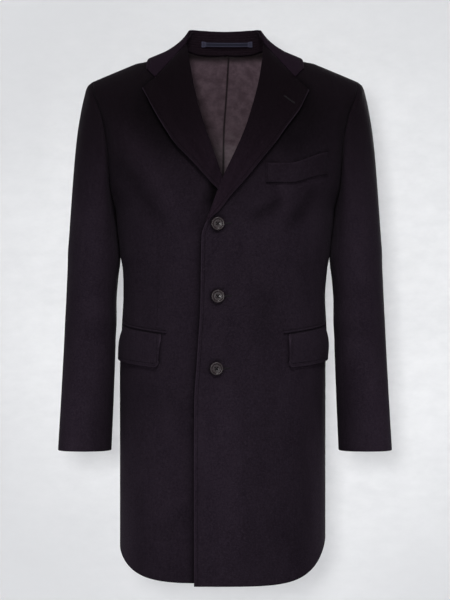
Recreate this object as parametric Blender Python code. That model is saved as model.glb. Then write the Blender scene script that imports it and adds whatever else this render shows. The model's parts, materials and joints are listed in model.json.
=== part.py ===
"""A single-breasted wool overcoat with notch lapels, filled out as if worn, with no wearer.

Metres, +Z up. The front faces -Y and the wearer's left is +X. The origin lies on the coat's
middle line at the height of the shoulders, where the wearer holds it up.

Every cut piece is a cloth wall of its own. Its outer face is a grid of points worked out from
the tables below, and its inner face is that grid moved in along the cloth's normals.
"""

import math

import bpy
import numpy as np

LEFT, RIGHT = 1, -1  # the wearer's sides, as signs of X
SIDES = ((LEFT, "left"), (RIGHT, "right"))
FRONT, BACK = -1, 1  # as signs of Y

# ---- Cloth ----
WOOL = 0.0026  # thickness of a body panel
FOLDED_WOOL = 0.0032  # a piece made of two layers: lapel, collar, flap
LINING = 0.0010
SEAM_GAP = 0.0003  # between two pieces at a seam
SLEEVE_GAP = 0.0014  # by which each edge of a sleeve piece is drawn in
LAY_GAP = 0.0006  # between a panel and what lies on it
MITRE_LIMIT = 1.3

# ---- Body: level sections of the coat, from the hem to above the shoulders ----
BODY = (
    ("height", "half_width", "front", "back", "shift"),
    (-0.900, 0.1772, 0.1400, 0.1420, -0.0040),
    (-0.700, 0.1772, 0.1420, 0.1450, -0.0040),
    (-0.520, 0.1774, 0.1435, 0.1440, -0.0040),
    (-0.450, 0.1767, 0.1410, 0.1360, -0.0015),
    (-0.390, 0.1741, 0.1385, 0.1280, -0.0013),
    (-0.345, 0.1764, 0.1394, 0.1255, 0.0000),
    (-0.322, 0.1806, 0.1404, 0.1265, 0.0000),
    (-0.290, 0.1838, 0.1420, 0.1290, 0.0000),
    (-0.268, 0.1866, 0.1427, 0.1315, 0.0000),
    (-0.245, 0.1885, 0.1435, 0.1340, 0.0000),
    (-0.205, 0.2035, 0.1435, 0.1380, 0.0000),
    (-0.165, 0.2150, 0.1420, 0.1400, 0.0000),
    (-0.120, 0.2240, 0.1385, 0.1390, 0.0000),
    (-0.080, 0.2345, 0.1350, 0.1360, 0.0000),
    (-0.040, 0.2500, 0.1320, 0.1330, 0.0000),
    (0.060, 0.2620, 0.1280, 0.1300, 0.0000),
)
SQUARENESS = 2.6  # 2 is an ellipse, more is squarer

# ---- Shoulders and armholes ----
NECK_X = 0.078  # where the shoulder seam meets the neckline
TIP_X = 0.229  # where it meets the sleeve
SHOULDER_SLOPE = 0.429  # fall of the seam for each unit outward
RIDGE_TOP = 0.0783  # its height, carried on to the middle line
RIDGE_ROUND = 0.028  # half the width over which the two seams' lines are rounded together
RIDGE_Y = 0.006
COLLAR_DIP = 0.0056  # how far the shoulder seam sinks where the collar lies over it
COLLAR_DIP_INNER = (0.068, 0.095)  # |x| where that starts and where it is full
COLLAR_DIP_OUTER = (0.157, 0.128)
NAPE_HEIGHT = 0.0305
NECKLINE_DIP = 0.002  # how far the neckline drops between the nape and the shoulder seam
SEAM_ROUND = 0.025  # how far from the shoulder seam what lies over it is rounded
DRAPE_DROP = 0.100  # no piece is draped lower than this below the shoulder seam
FALL_AT_NECK = {FRONT: 0.240, BACK: 0.200}  # drop below the seam to the full depth
FALL_AT_TIP = 0.125
ARMHOLE_LOW = -0.245
ARMHOLE_DEPTH = {FRONT: 0.078, BACK: 0.084}
ARMHOLE_POINT = 1.2  # above 1 the oval narrows toward its top

# ---- Front edges: from the hem up to where the roll line meets the shoulder seam ----
LEFT_EDGE = (
    ("height", "x"),
    (-0.900, -0.0517),
    (-0.700, -0.0520),
    (-0.570, -0.0515),
    (-0.500, -0.0470),
    (-0.400, -0.0412),
    (-0.320, -0.0400),
    (-0.290, -0.0392),
    (-0.2750, -0.0350),
    (-0.2544, -0.0250),
    (-0.2344, -0.0180),
    (-0.1968, -0.0040),
    (-0.1421, 0.0218),
    (-0.1074, 0.0361),
    (-0.0758, 0.0459),
    (-0.0395, 0.0557),
    (-0.0057, 0.0633),
    (0.0235, 0.0675),
    (0.0421, 0.0780),
)
RIGHT_EDGE = (
    ("height", "x"),
    (-0.900, 0.0180),
    (-0.500, 0.0180),
    (-0.320, 0.0170),
    (-0.270, 0.0135),
    (-0.230, 0.0060),
    (-0.1932, -0.0052),
    (-0.1560, -0.0181),
    (-0.1217, -0.0300),
    (-0.0848, -0.0420),
    (-0.0445, -0.0519),
    (-0.0134, -0.0580),
    (0.0200, -0.0645),
    (0.0421, -0.0780),
)
UNDERLAP = (  # how far the right front is pressed in beneath the left one
    ("height", "inset"),
    (-0.900, 0.0034),
    (-0.310, 0.0036),
    (-0.275, 0.0088),
    (-0.180, 0.0108),
    (-0.130, 0.0040),
    (0.060, 0.0000),
)
UNDERLAP_RAMP = 0.022
UNDERLAP_REACH = 0.007  # how far beyond the left front's edge the full inset reaches

# ---- Hem: heights at the middle and at the side seams ----
HEM_FRONT = {LEFT: -0.8775, RIGHT: -0.8723}
HEM_BACK = -0.872
HEM_SIDE = {LEFT: -0.8055, RIGHT: -0.8216}
HEM_ROUND = (-0.05, 0.95)  # shares of the depth between which the hem rises to the side
HEM_SPREAD = 0.330  # height of the body over which the rows bend to the hem's line

# ---- Soft folds of the body: a long shallow trough or ridge from one point to another ----
FOLDS = (
    ("side", "face", "x0", "z0", "x1", "z1", "out", "half_width"),
    (RIGHT, FRONT, -0.159, -0.047, -0.078, -0.160, -0.0010, 0.022),
    (RIGHT, FRONT, -0.167, -0.120, -0.084, -0.256, 0.0026, 0.013),
    (RIGHT, FRONT, -0.179, -0.165, -0.112, -0.266, -0.0032, 0.010),
    (LEFT, FRONT, 0.159, -0.047, 0.092, -0.164, -0.0010, 0.022),
    (LEFT, FRONT, 0.094, -0.160, 0.105, -0.262, 0.0018, 0.009),
    (LEFT, FRONT, 0.164, -0.169, 0.128, -0.244, 0.0018, 0.009),
    (LEFT, FRONT, 0.152, -0.208, 0.110, -0.274, -0.0032, 0.010),
    (LEFT, FRONT, 0.097, -0.232, 0.046, -0.262, -0.0024, 0.008),
    (LEFT, FRONT, 0.067, -0.380, 0.062, -0.480, -0.0012, 0.018),
    (LEFT, FRONT, 0.150, -0.420, 0.120, -0.330, -0.0020, 0.018),
    (RIGHT, FRONT, -0.150, -0.430, -0.115, -0.340, -0.0020, 0.018),
    (RIGHT, FRONT, -0.150, -0.565, -0.062, -0.585, -0.0014, 0.020),
    (RIGHT, FRONT, -0.112, -0.796, -0.064, -0.752, -0.0018, 0.012),
    (LEFT, FRONT, -0.010, -0.540, -0.012, -0.830, 0.0010, 0.022),
    (LEFT, FRONT, 0.110, -0.560, 0.128, -0.860, 0.0030, 0.026),
    (RIGHT, FRONT, -0.112, -0.560, -0.130, -0.850, 0.0028, 0.026),
    (LEFT, BACK, 0.150, -0.150, 0.105, -0.290, -0.0040, 0.020),
    (RIGHT, BACK, -0.152, -0.140, -0.100, -0.300, -0.0044, 0.020),
    (LEFT, BACK, 0.080, -0.560, 0.100, -0.880, 0.0045, 0.030),
    (RIGHT, BACK, -0.086, -0.540, -0.098, -0.880, 0.0042, 0.028),
)

# ---- Sleeves: level sections below the armpit, on the wearer's left ----
SLEEVE = (
    ("height", "centre_x", "centre_y", "half_width", "half_depth"),
    (-0.2900, 0.2270, 0.0040, 0.0427, 0.0740),
    (-0.3220, 0.2265, 0.0036, 0.0453, 0.0715),
    (-0.3630, 0.2293, 0.0030, 0.0437, 0.0690),
    (-0.4200, 0.2316, 0.0000, 0.0439, 0.0640),
    (-0.4700, 0.2333, -0.0040, 0.0444, 0.0600),
    (-0.5700, 0.2373, -0.0140, 0.0453, 0.0540),
    (-0.6556, 0.2412, -0.0230, 0.0459, 0.0500),
)
SLEEVE_SQUARENESS = 2.2
CUFF_HEIGHT = -0.6556
CAP_ROLL = (0.0070, 0.0018)  # out and down: the rounded start of the sleeve head
CAP_ROLLED = 0.03  # share of the way down that the rounded start takes
CAP_FLARE = 0.0186  # how far its outer line goes on outward as it starts to fall
CAP_RETURN = 0.0130  # how far inside the straight sleeve that line stays above it
ELBOW_FOLDS = (
    ("height", "turn", "out", "half_height"),
    (-0.395, 60, -0.0030, 0.016),
    (-0.432, 70, 0.0026, 0.014),
    (-0.462, 50, -0.0028, 0.014),
    (-0.350, 300, 0.0030, 0.022),
    (-0.455, 285, 0.0032, 0.020),
)

# ---- Collar, on the wearer's left, from the middle of the neck to the gorge; the leaf's middle
# ---- and edge are places on the coat, seen from above
COLLAR = (
    ("along", "roll_x", "roll_y", "roll_z", "mid_x", "mid_y", "edge_x", "edge_y", "sag"),
    (0.00, 0.0000, 0.0470, 0.0715, 0.0000, 0.0426, 0.0000, 0.0585, 0.36),
    (0.22, 0.0235, 0.0452, 0.0720, 0.0310, 0.0362, 0.0360, 0.0520, 0.38),
    (0.42, 0.0430, 0.0395, 0.0726, 0.0600, 0.0262, 0.0720, 0.0400, 0.42),
    (0.56, 0.0550, 0.0310, 0.0726, 0.0820, 0.0175, 0.1000, 0.0280, 0.50),
    (0.70, 0.0622, 0.0195, 0.0712, 0.1000, 0.0080, 0.1215, 0.0150, 0.58),
    (0.82, 0.0645, 0.0085, 0.0640, 0.1105, -0.0065, 0.1325, 0.0010, 0.58),
    (0.91, 0.0655, 0.0000, 0.0540, 0.1150, -0.0255, 0.1350, -0.0135, 0.54),
    (1.00, 0.0655, -0.0080, 0.0425, 0.1185, -0.0481, 0.1355, -0.0289, 0.50),
)
COLLAR_BULGE = 0.0012  # outward, where the leaf hangs free behind the neck
COLLAR_SPRING = 0.0016  # how far the leaf stands off the shoulder seam
COLLAR_MID = 0.76  # share of the leaf's width that falls freely from the roll
LEAF_COLUMNS = (0, 0.1, 0.2, 0.3, 0.4, 0.5, 0.58, 0.65, 0.71, 0.75, 0.785, 0.83, 0.88, 0.94, 1)
STAND_END = 0.84  # how far along the neck the stand reaches
STAND_INSET = 0.0042  # the stand lies inside the leaf by this much
STAND_DROP = 0.0035  # of its top edge below the roll
STAND_THICK = 0.0021

# ---- Lapels, in front view, from the gorge to the lowest button of the roll ----
LAPEL_OUTLINE = {
    LEFT: (
        ("along", "roll_z", "outer_x", "outer_z"),
        (0.00, 0.0425, 0.1436, -0.0426),
        (0.16, -0.0057, 0.1300, -0.0730),
        (0.36, -0.0580, 0.1023, -0.1106),
        (0.56, -0.1150, 0.0687, -0.1540),
        (0.76, -0.1760, 0.0358, -0.1943),
        (0.88, -0.2200, 0.0100, -0.2235),
        (0.95, -0.2480, -0.0090, -0.2480),
        (1.00, -0.2660, -0.0250, -0.2620),
    ),
    RIGHT: (
        ("along", "roll_z", "outer_x", "outer_z"),
        (0.00, 0.0425, -0.1414, -0.0390),
        (0.16, -0.0057, -0.1270, -0.0680),
        (0.36, -0.0520, -0.1040, -0.1070),
        (0.56, -0.1000, -0.0800, -0.1400),
        (0.76, -0.1480, -0.0509, -0.1707),
        (0.90, -0.1810, -0.0250, -0.1990),
        (1.00, -0.2080, -0.0030, -0.2210),
    ),
}
COLLAR_TIP = (0.1355, -0.0015)
GORGE = ((0.0655, 0.0425), (0.1190, -0.0185))  # its ends, as |x| and height: roll and notch
GORGE_GAP = 0.0008  # from the gorge's line to each of the two pieces
NOTCH_SHARE = 0.68  # share of the lapel's top edge that is gorge
LAPEL_ROLL = 0.0042  # how far the soft roll stands off the front
ROLL_OVERHANG = 0.0020  # how far the roll reaches past the front's edge

# ---- Pockets ----
FLAP_INNER_X = 0.107
FLAP_TOP = -0.4545
FLAP_RISE = 0.0120  # the flap's top climbs by this toward the side
FLAP_HEIGHT = 0.0570
FLAP_END_TURNS = (70, 87)  # of its top and bottom corner at the side
FLAP_CORNER = 0.009
FLAP_BELLY = 0.0016  # how far its middle stands off the front
FLAP_DROOP = 0.0012  # how much further its lower edge does
JET_HEIGHT = 0.0055
JET_INNER_X = 0.098
JET_END_TURN = 75
WELT_X = (0.0682, 0.1715)
WELT_LOW = (-0.2020, -0.1855)  # height of its lower edge at each end
WELT_HEIGHT = (0.0328, 0.0364)  # at each end
WELT_RISE = (0.35, 1.05)  # shares of its length between which it rises
WELT_THICK = 0.0026
JET_THICK = 0.0016

# ---- Buttons ----
BUTTONS = (
    ("name", "x", "z"),
    ("button_top", -0.0120, -0.2704),
    ("button_middle", -0.0120, -0.3917),
    ("button_bottom", -0.0142, -0.5124),
)
BUTTON_RADIUS = 0.01125
BUTTON_PROFILE = (  # radius as a share of the button's, height above its underside
    ("share", "height"),
    (0.00, 0.0024),
    (0.42, 0.0024),
    (0.50, 0.0021),
    (0.66, 0.0022),
    (0.74, 0.0037),
    (0.90, 0.0040),
    (0.99, 0.0030),
    (1.00, 0.0018),
    (0.90, 0.0004),
    (0.70, 0.0000),
)
BUTTON_SIDES = 24
BUTTON_LIFT = 0.0012
HOLE_RADIUS = 0.0011
HOLE_OFFSET = 0.0021  # of each hole from the middle, along X and along Z

# ---- Hanger loop on the stand ----
LOOP_X = (-0.041, 0.0475)
LOOP_HEIGHTS = (0.0480, 0.0474)  # its middle at each end
LOOP_WIDTH = 0.0085
LOOP_THICK = 0.0012
LOOP_SAG = 0.0035

# ---- Back lining, as far down as the open neck shows it ----
LINING_LOW = -0.340
LINING_COLUMNS = 12  # of the back's columns, from the middle seam

# ---- Grid counts ----
LOW_ROWS = 13
ARM_ROWS = 9
FRONT_COLUMNS = 11
NECK_COLUMNS = 4
CUFF_ROWS = 9
CAP_ROWS = 7
CAP_CROWDING = 1.8  # above 1 the rows lie closer together at the shoulder's tip


def column(table, name):
    """A named column of a table, as a smooth curve over the table's first column."""
    rows = sorted(table[1:], key=lambda row: row[0])
    keys = np.array([row[0] for row in rows])
    values = np.array([row[table[0].index(name)] for row in rows], float)
    slopes = np.diff(values) / np.diff(keys)
    tangents = np.zeros(len(keys))
    tangents[0], tangents[-1] = slopes[0], slopes[-1]
    same_way = slopes[:-1] * slopes[1:] > 0
    both = slopes[:-1] + slopes[1:]
    tangents[1:-1][same_way] = 2 * (slopes[:-1] * slopes[1:])[same_way] / both[same_way]

    def at(key):
        key = np.clip(key, keys[0], keys[-1])
        i = np.clip(np.searchsorted(keys, key, side="right") - 1, 0, len(keys) - 2)
        step = keys[i + 1] - keys[i]
        t = (key - keys[i]) / step
        return (
            (1 + 2 * t) * (1 - t) ** 2 * values[i]
            + t * (1 - t) ** 2 * step * tangents[i]
            + t**2 * (3 - 2 * t) * values[i + 1]
            + t**2 * (t - 1) * step * tangents[i + 1]
        )

    return at


def ease(value, start=0.0, end=1.0):
    """Goes smoothly from 0 at start to 1 at end."""
    t = np.clip((np.asarray(value, float) - start) / (end - start), 0, 1)
    return t * t * (3 - 2 * t)


def mix(a, b, share):
    return a + (b - a) * share


def unit(vectors):
    return vectors / np.maximum(np.linalg.norm(vectors, axis=-1, keepdims=True), 1e-12)


HALF_WIDTH, SHIFT = column(BODY, "half_width"), column(BODY, "shift")
DEPTH = {FRONT: column(BODY, "front"), BACK: column(BODY, "back")}
FRONT_EDGE = {LEFT: column(LEFT_EDGE, "x"), RIGHT: column(RIGHT_EDGE, "x")}
INSET = column(UNDERLAP, "inset")


# ---- The body's surface ----


def ridge_height(x):
    """Height of the shoulder seam's line."""
    out = np.abs(x)
    under_collar = ease(out, *COLLAR_DIP_INNER) * ease(out, *COLLAR_DIP_OUTER)
    return RIDGE_TOP - SHOULDER_SLOPE * np.hypot(x, RIDGE_ROUND) - COLLAR_DIP * under_collar


def shoulder_fall(x, z, face):
    """Share of the full depth that the cloth has reached, at a drop below the shoulder seam."""
    outer = ease(np.abs(x), NECK_X, TIP_X)
    reach = mix(FALL_AT_NECK[face], FALL_AT_TIP, outer)
    left = 1 - np.clip((ridge_height(x) - z) / reach, 0, 1)
    return (1 - left ** mix(1.7, 2.0, outer)) ** mix(0.8, 0.5, outer)


def folds(x, z, face):
    """Outward movement of the cloth from the table of soft folds."""
    out = np.zeros(np.broadcast(x, z).shape)
    for side, on_face, x0, z0, x1, z1, height, half_width in FOLDS[1:]:
        if on_face != face:
            continue
        run = np.array([x1 - x0, z1 - z0])
        length = np.hypot(*run)
        along = ((x - x0) * run[0] + (z - z0) * run[1]) / length**2
        across = ((x - x0) * run[1] - (z - z0) * run[0]) / length
        fade = ease(along, -0.25, 0.25) * ease(along, 1.25, 0.75)
        out = out + height * fade * np.exp(-((across / half_width) ** 2))
    return out


def turn_of(x, z):
    """Angle round the level section, in degrees: 0 at the middle, +-90 at the side seams."""
    across = np.clip((x - SHIFT(z)) / HALF_WIDTH(z), -1, 1)
    return np.degrees(np.sign(across) * np.arcsin(np.abs(across) ** (SQUARENESS / 2)))


def body_point(turn, z, face):
    """A point of the outer surface at an angle round the section and a height."""
    turn, z = np.broadcast_arrays(np.radians(turn), np.asarray(z, float))
    sine, cosine = np.sin(turn), np.cos(turn)
    across = np.sign(sine) * np.abs(sine) ** (2 / SQUARENESS)
    x = SHIFT(z) + HALF_WIDTH(z) * across
    square = np.sign(cosine) * np.abs(cosine) ** (2 / SQUARENESS)
    depth = (DEPTH[face](z) + folds(x, z, face)) * square
    middle = RIDGE_Y * ease(z, ARMHOLE_LOW - 0.06, ARMHOLE_LOW + 0.06)
    y = middle + (face * depth - middle) * shoulder_fall(x, z, face)
    return np.stack([x, y, z], axis=-1)


def body_normal(turn, z, face):
    """Outward direction of the surface at a point given as for body_point."""
    across = body_point(turn + 0.6, z, face) - body_point(turn - 0.6, z, face)
    up = body_point(turn, z + 0.002, face) - body_point(turn, z - 0.002, face)
    return unit(np.cross(across, up) * (1 if face == FRONT else -1))


def lay_on(x, z, face, lift):
    """Points that lie on the surface, seen at x and z, moved out by lift."""
    turn = turn_of(x, z)
    return body_point(turn, z, face) + body_normal(turn, z, face) * np.asarray(lift)[..., None]


def drape(x, y, lift):
    """A point on the surface seen from above at x and y, moved out by lift.

    Close to the shoulder seam the direction turns over gradually from one face to the other.
    """
    face = BACK if y > RIDGE_Y else FRONT
    high, low = ridge_height(x), ridge_height(x) - DRAPE_DROP
    for _ in range(30):
        z = (high + low) / 2
        beyond = face * body_point(turn_of(x, z), z, face)[1] > face * y
        high, low = (high, z) if beyond else (z, low)
    near_seam = np.minimum(z, ridge_height(x) - 0.002)
    ways = {side: body_normal(turn_of(x, near_seam), near_seam, side) for side in (FRONT, BACK)}
    over = ease(y, RIDGE_Y - SEAM_ROUND, RIDGE_Y + SEAM_ROUND)
    return body_point(turn_of(x, z), z, face) + unit(mix(ways[FRONT], ways[BACK], over)) * lift


def armhole_point(side, face, share):
    """A point of the armhole: share 0 at the armpit, 1 at the shoulder's tip."""
    tip = np.array([side * TIP_X, RIDGE_Y, ridge_height(TIP_X)])
    low = np.array([side * HALF_WIDTH(ARMHOLE_LOW), 0, ARMHOLE_LOW])
    if share in (0, 1):
        return tip if share else low
    z = mix(ARMHOLE_LOW, tip[2], (1 - math.cos(math.pi * share)) / 2)
    reach = ARMHOLE_DEPTH[face] * math.sin(math.pi * share) ** ARMHOLE_POINT
    near, far = 90.0, 20.0
    for _ in range(40):
        turn = (near + far) / 2
        y = body_point(turn * side, z, face)[1]
        near, far = (turn, far) if face * y < reach else (near, turn)
    return body_point(turn * side, z, face)


# ---- Grids of points, one for each piece: rows run upward, columns away from the middle ----


def row_heights():
    """Heights of the body's rows from the hem up to the armpit, closer together near it."""
    share = np.linspace(1, 0, LOW_ROWS + 1) ** 1.5
    return mix(ARMHOLE_LOW, HEM_BACK, share)


def hem_height(side, face, turn):
    middle = HEM_FRONT[side] if face == FRONT else HEM_BACK
    round_side = 1 - np.clip(np.cos(np.radians(turn)), 0, 1) ** (2 / SQUARENESS)
    return mix(middle, HEM_SIDE[side], ease(round_side, *HEM_ROUND))


def panel_heights(side, face, z, turn):
    """A row's heights: level near the waist and bent to the hem's line lower down."""
    bent = ease(-z, -HEM_BACK - HEM_SPREAD, -HEM_BACK)
    return z + (hem_height(side, face, turn) - HEM_BACK) * bent


def underlap_inset(x, z):
    """How far the right front lies in from the body's surface."""
    edge = FRONT_EDGE[LEFT](z)
    full = edge - UNDERLAP_REACH
    return INSET(z) * ease(x, full - UNDERLAP_RAMP, full)


def front_point(side, x, z, lift=0.0):
    """A point on the outside of a front, moved out by lift."""
    inset = underlap_inset(x, z) if side == RIGHT else 0.0
    return lay_on(x, z, FRONT, lift - inset)


def neck_top(x):
    """Height of the back's top edge: the neckline, then the shoulder seam."""
    out = np.clip(np.abs(x) / NECK_X, 0, 1)
    neckline = mix(NAPE_HEIGHT, ridge_height(NECK_X), out**4) - NECKLINE_DIP * np.sin(np.pi * out)
    return np.where(np.abs(x) < NECK_X, neckline, ridge_height(x))


def climb(up):
    """Height of a row above the armpit: rows lie closer together at both ends."""
    return mix(up, (1 - math.cos(math.pi * up)) / 2, 0.4)


def front_panel(side):
    share = np.linspace(0, 1, FRONT_COLUMNS + 1)
    low_share = share**1.2
    rows = []
    for z in row_heights():
        turn = mix(turn_of(FRONT_EDGE[side](z), z), 90 * side, low_share)
        heights = panel_heights(side, FRONT, z, turn)
        turn = mix(turn_of(FRONT_EDGE[side](heights), heights), 90 * side, low_share)
        rows.append(body_point(turn, heights, FRONT))
    spread = (rows[-1][:, 0] - rows[-1][0, 0]) / (rows[-1][-1, 0] - rows[-1][0, 0])
    for step in range(1, ARM_ROWS + 1):
        up = step / ARM_ROWS
        outer = armhole_point(side, FRONT, up)
        inner_z = mix(ARMHOLE_LOW, ridge_height(NECK_X), climb(up))
        inner_x = FRONT_EDGE[side](inner_z) if step < ARM_ROWS else side * NECK_X
        across = mix(spread, share, ease(up, 0, 0.8))
        x, z = mix(inner_x, outer[0], across), mix(inner_z, outer[2], across)
        row = body_point(turn_of(x, z), z, FRONT)
        row[-1] = outer
        rows.append(row)
    grid = np.array(rows)
    grid[-1, :, 1] = RIDGE_Y
    grid[-1, :, 2] = ridge_height(grid[-1, :, 0])
    if side == RIGHT:
        inset = underlap_inset(grid[..., 0], grid[..., 2])
        grid[..., 1] += inset * ease(grid[..., 0], 0.06, 0.03)
    return grid


def back_panel(side):
    columns = NECK_COLUMNS + FRONT_COLUMNS
    share = np.linspace(0, 1, columns + 1)
    neck = np.linspace(0, NECK_X, NECK_COLUMNS + 1)[:-1]
    top_x = side * np.concatenate([neck, np.linspace(NECK_X, TIP_X, FRONT_COLUMNS + 1)])
    rows = []
    for z in row_heights():
        turn = 90 * side * share
        heights = panel_heights(side, BACK, z, turn)
        rows.append(body_point(turn, heights, BACK))
    spread = (rows[-1][:, 0] - rows[-1][0, 0]) / (rows[-1][-1, 0] - rows[-1][0, 0])
    for step in range(1, ARM_ROWS + 1):
        up = step / ARM_ROWS
        outer = armhole_point(side, BACK, up)
        inner_z = mix(ARMHOLE_LOW, NAPE_HEIGHT, climb(up))
        across = mix(spread, top_x / (side * TIP_X), ease(up, 0, 0.8))
        x = outer[0] * across
        flat_top = mix(NAPE_HEIGHT, ridge_height(TIP_X), top_x / (side * TIP_X))
        z = mix(inner_z, outer[2], across) + (neck_top(top_x) - flat_top) * up**3
        row = body_point(turn_of(x, z), z, BACK)
        row[-1] = outer
        rows.append(row)
    grid = np.array(rows)
    grid[-1, NECK_COLUMNS:, 1] = RIDGE_Y
    grid[-1, NECK_COLUMNS:, 2] = ridge_height(grid[-1, NECK_COLUMNS:, 0])
    return grid


def sleeve_ring(side, height, angles):
    """A level section of the sleeve; angle 0 faces the body, 90 the front, 180 outward."""
    centre_x, centre_y, half_width, half_depth = (
        float(column(SLEEVE, name)(height)) for name in SLEEVE[0][1:]
    )
    sine, cosine = np.sin(np.radians(angles)), np.cos(np.radians(angles))
    power = 2 / SLEEVE_SQUARENESS
    swell = np.zeros(len(angles))
    for fold_z, turn, out, half_height in ELBOW_FOLDS[1:]:
        near = np.cos(np.radians((angles - turn) / 2)) ** 4
        swell += out * near * np.exp(-(((height - fold_z) / half_height) ** 2))
    x = centre_x - (half_width + swell * 0.4) * np.sign(cosine) * np.abs(cosine) ** power
    y = centre_y - (half_depth + swell) * np.sign(sine) * np.abs(sine) ** power
    return np.stack([side * x, y, np.full(len(angles), float(height))], axis=-1)


def sleeve_tube(side):
    """The whole sleeve from the armhole down to the cuff, as rings of 2 * ARM_ROWS points."""
    count = 2 * ARM_ROWS
    angles = np.arange(count) * 360 / count
    head = []
    for i in range(count):
        face, share = (FRONT, i / ARM_ROWS) if i <= ARM_ROWS else (BACK, (count - i) / ARM_ROWS)
        head.append(armhole_point(side, face, share))
    head = np.array(head)
    start = sleeve_ring(side, SLEEVE[1][0], angles)
    outward = ((1 - np.cos(np.radians(angles))) / 2)[:, None]
    roll = np.array([side * CAP_ROLL[0], 0, -CAP_ROLL[1]]) * outward**2
    drop = (head + roll - start) * np.array([0, 0, 1.0])
    leave = np.array([side * CAP_FLARE, 0, 0]) * outward - drop * mix(0.33, 0.267, outward)
    arrive = np.array([-side * CAP_RETURN, 0, 0]) * outward + drop * mix(0.30, 0.724, outward)
    rings = []
    for share in np.linspace(0, 1, CAP_ROWS + 1):
        t = mix(share, share**CAP_CROWDING, outward)
        top = head + roll * np.sin(np.pi / 2 * np.clip(t / CAP_ROLLED, 0, 1))
        rings.append(
            (1 - t) ** 3 * top
            + 3 * t * (1 - t) ** 2 * (top + leave)
            + 3 * t**2 * (1 - t) * (start + arrive)
            + t**3 * start
        )
    for height in np.linspace(SLEEVE[1][0], CUFF_HEIGHT, CUFF_ROWS + 1)[1:]:
        rings.append(sleeve_ring(side, height, angles))
    return np.array(rings)


def surface_samples(grids, finer=5):
    """Points spread over the triangles of named panels, with the outward direction at each."""
    points, normals = [], []
    for name, grid in grids.items():
        for a in np.linspace(0, 1, finer, endpoint=False):
            for b in np.linspace(0, 1, finer, endpoint=False):
                if is_mirrored(name):
                    weights = (1 - a - b, a, b, 0) if a + b < 1 else (0, 1 - b, 1 - a, a + b - 1)
                else:
                    weights = (1 - max(a, b), max(a - b, 0), max(b - a, 0), min(a, b))
                for source, kept in ((grid, points), (grid_normals(grid), normals)):
                    corners = source[:-1, :-1], source[:-1, 1:], source[1:, :-1], source[1:, 1:]
                    kept.append(sum(c * w for c, w in zip(corners, weights)).reshape(-1, 3))
    return np.concatenate(points), unit(np.concatenate(normals))


def clear_of(grid, samples, lift):
    """The grid pushed out wherever it comes nearer than lift to the sampled faces."""
    points, normals = samples
    flat = grid.reshape(-1, 3).copy()
    lifts = np.broadcast_to(lift, grid.shape[:-1]).reshape(-1)
    for _ in range(3):
        for i, point in enumerate(flat):
            near = np.argmin(((points - point) ** 2).sum(axis=1))
            short = lifts[i] - float((point - points[near]) @ normals[near])
            if short > 0:
                flat[i] = point + normals[near] * short
    return flat.reshape(grid.shape)


# ---- From grids to solids ----


def grid_normals(grid, closed=False):
    """Outward normals of a grid whose columns run left to right as rows run up, seen outside."""
    if closed:
        wrapped = np.concatenate([grid[:, -1:], grid, grid[:, :1]], axis=1)
        across = (wrapped[:, 2:] - wrapped[:, :-2]) / 2
    else:
        across = np.gradient(grid, axis=1)
    up = np.gradient(grid, axis=0)
    return unit(np.cross(across, up))


def is_mirrored(name):
    """Whether a piece's cells are cut by the other diagonal, as on a mirrored piece."""
    return name.endswith("_right")


def grid_faces(rows, columns, offset, flip, mirrored):
    """Two triangles for each cell, cut by the same diagonal on a wall's two faces."""
    faces = []
    for r in range(rows - 1):
        for c in range(columns - 1):
            a = offset + r * columns + c
            b, d = a + 1, a + columns
            rising, falling = ((a, b, d + 1), (a, d + 1, d)), ((a, b, d), (b, d + 1, d))
            for corners in falling if mirrored else rising:
                faces.append(corners[::-1] if flip else corners)
    return faces


def rim_loop(rows, columns):
    """Indices of a grid's outline, anticlockwise as seen from outside."""
    bottom = [c for c in range(columns)]
    right = [r * columns + columns - 1 for r in range(1, rows)]
    top = [(rows - 1) * columns + c for c in range(columns - 2, -1, -1)]
    left = [r * columns for r in range(rows - 2, 0, -1)]
    return bottom + right + top + left


def pull_from_edges(grid, gap):
    """Each outline point moved in by half a seam's gap, toward its neighbour inside the grid."""
    moved = grid.copy()
    moved[:, 0] += unit(grid[:, 1] - grid[:, 0]) * gap
    moved[:, -1] += unit(grid[:, -2] - grid[:, -1]) * gap
    moved[0] += unit(grid[1] - grid[0]) * gap
    moved[-1] += unit(grid[-2] - grid[-1]) * gap
    return moved


def make_object(name, points, faces, material):
    mesh = bpy.data.meshes.new(name)
    mesh.from_pydata([tuple(point) for point in points], [], faces)
    mesh.validate()
    mesh.shade_smooth()
    mesh.set_sharp_from_angle(angle=math.radians(40))
    piece = bpy.data.objects.new(name, mesh)
    bpy.context.scene.collection.objects.link(piece)
    mesh.materials.append(material)
    return piece


def wall(name, grid, material, thickness, inward=None, gap=SEAM_GAP * 0.6):
    """A closed cloth wall: the grid as its outer face, and the grid moved in as its inner one.

    inward holds, for each point, the way to the inner face for one unit of thickness.
    """
    if inward is None:
        inward = -grid_normals(grid)
    rows, columns = grid.shape[:2]
    inner = grid + inward * thickness
    outer = pull_from_edges(grid, gap)
    inner = pull_from_edges(inner, gap)
    points = np.concatenate([outer.reshape(-1, 3), inner.reshape(-1, 3)])
    size = rows * columns
    mirrored = is_mirrored(name)
    faces = grid_faces(rows, columns, 0, False, mirrored)
    faces += grid_faces(rows, columns, size, True, mirrored)
    loop = rim_loop(rows, columns)
    for a, b in zip(loop, loop[1:] + loop[:1]):
        faces.append((b, a, a + size, b + size))
    return make_object(name, points, faces, material)


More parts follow.
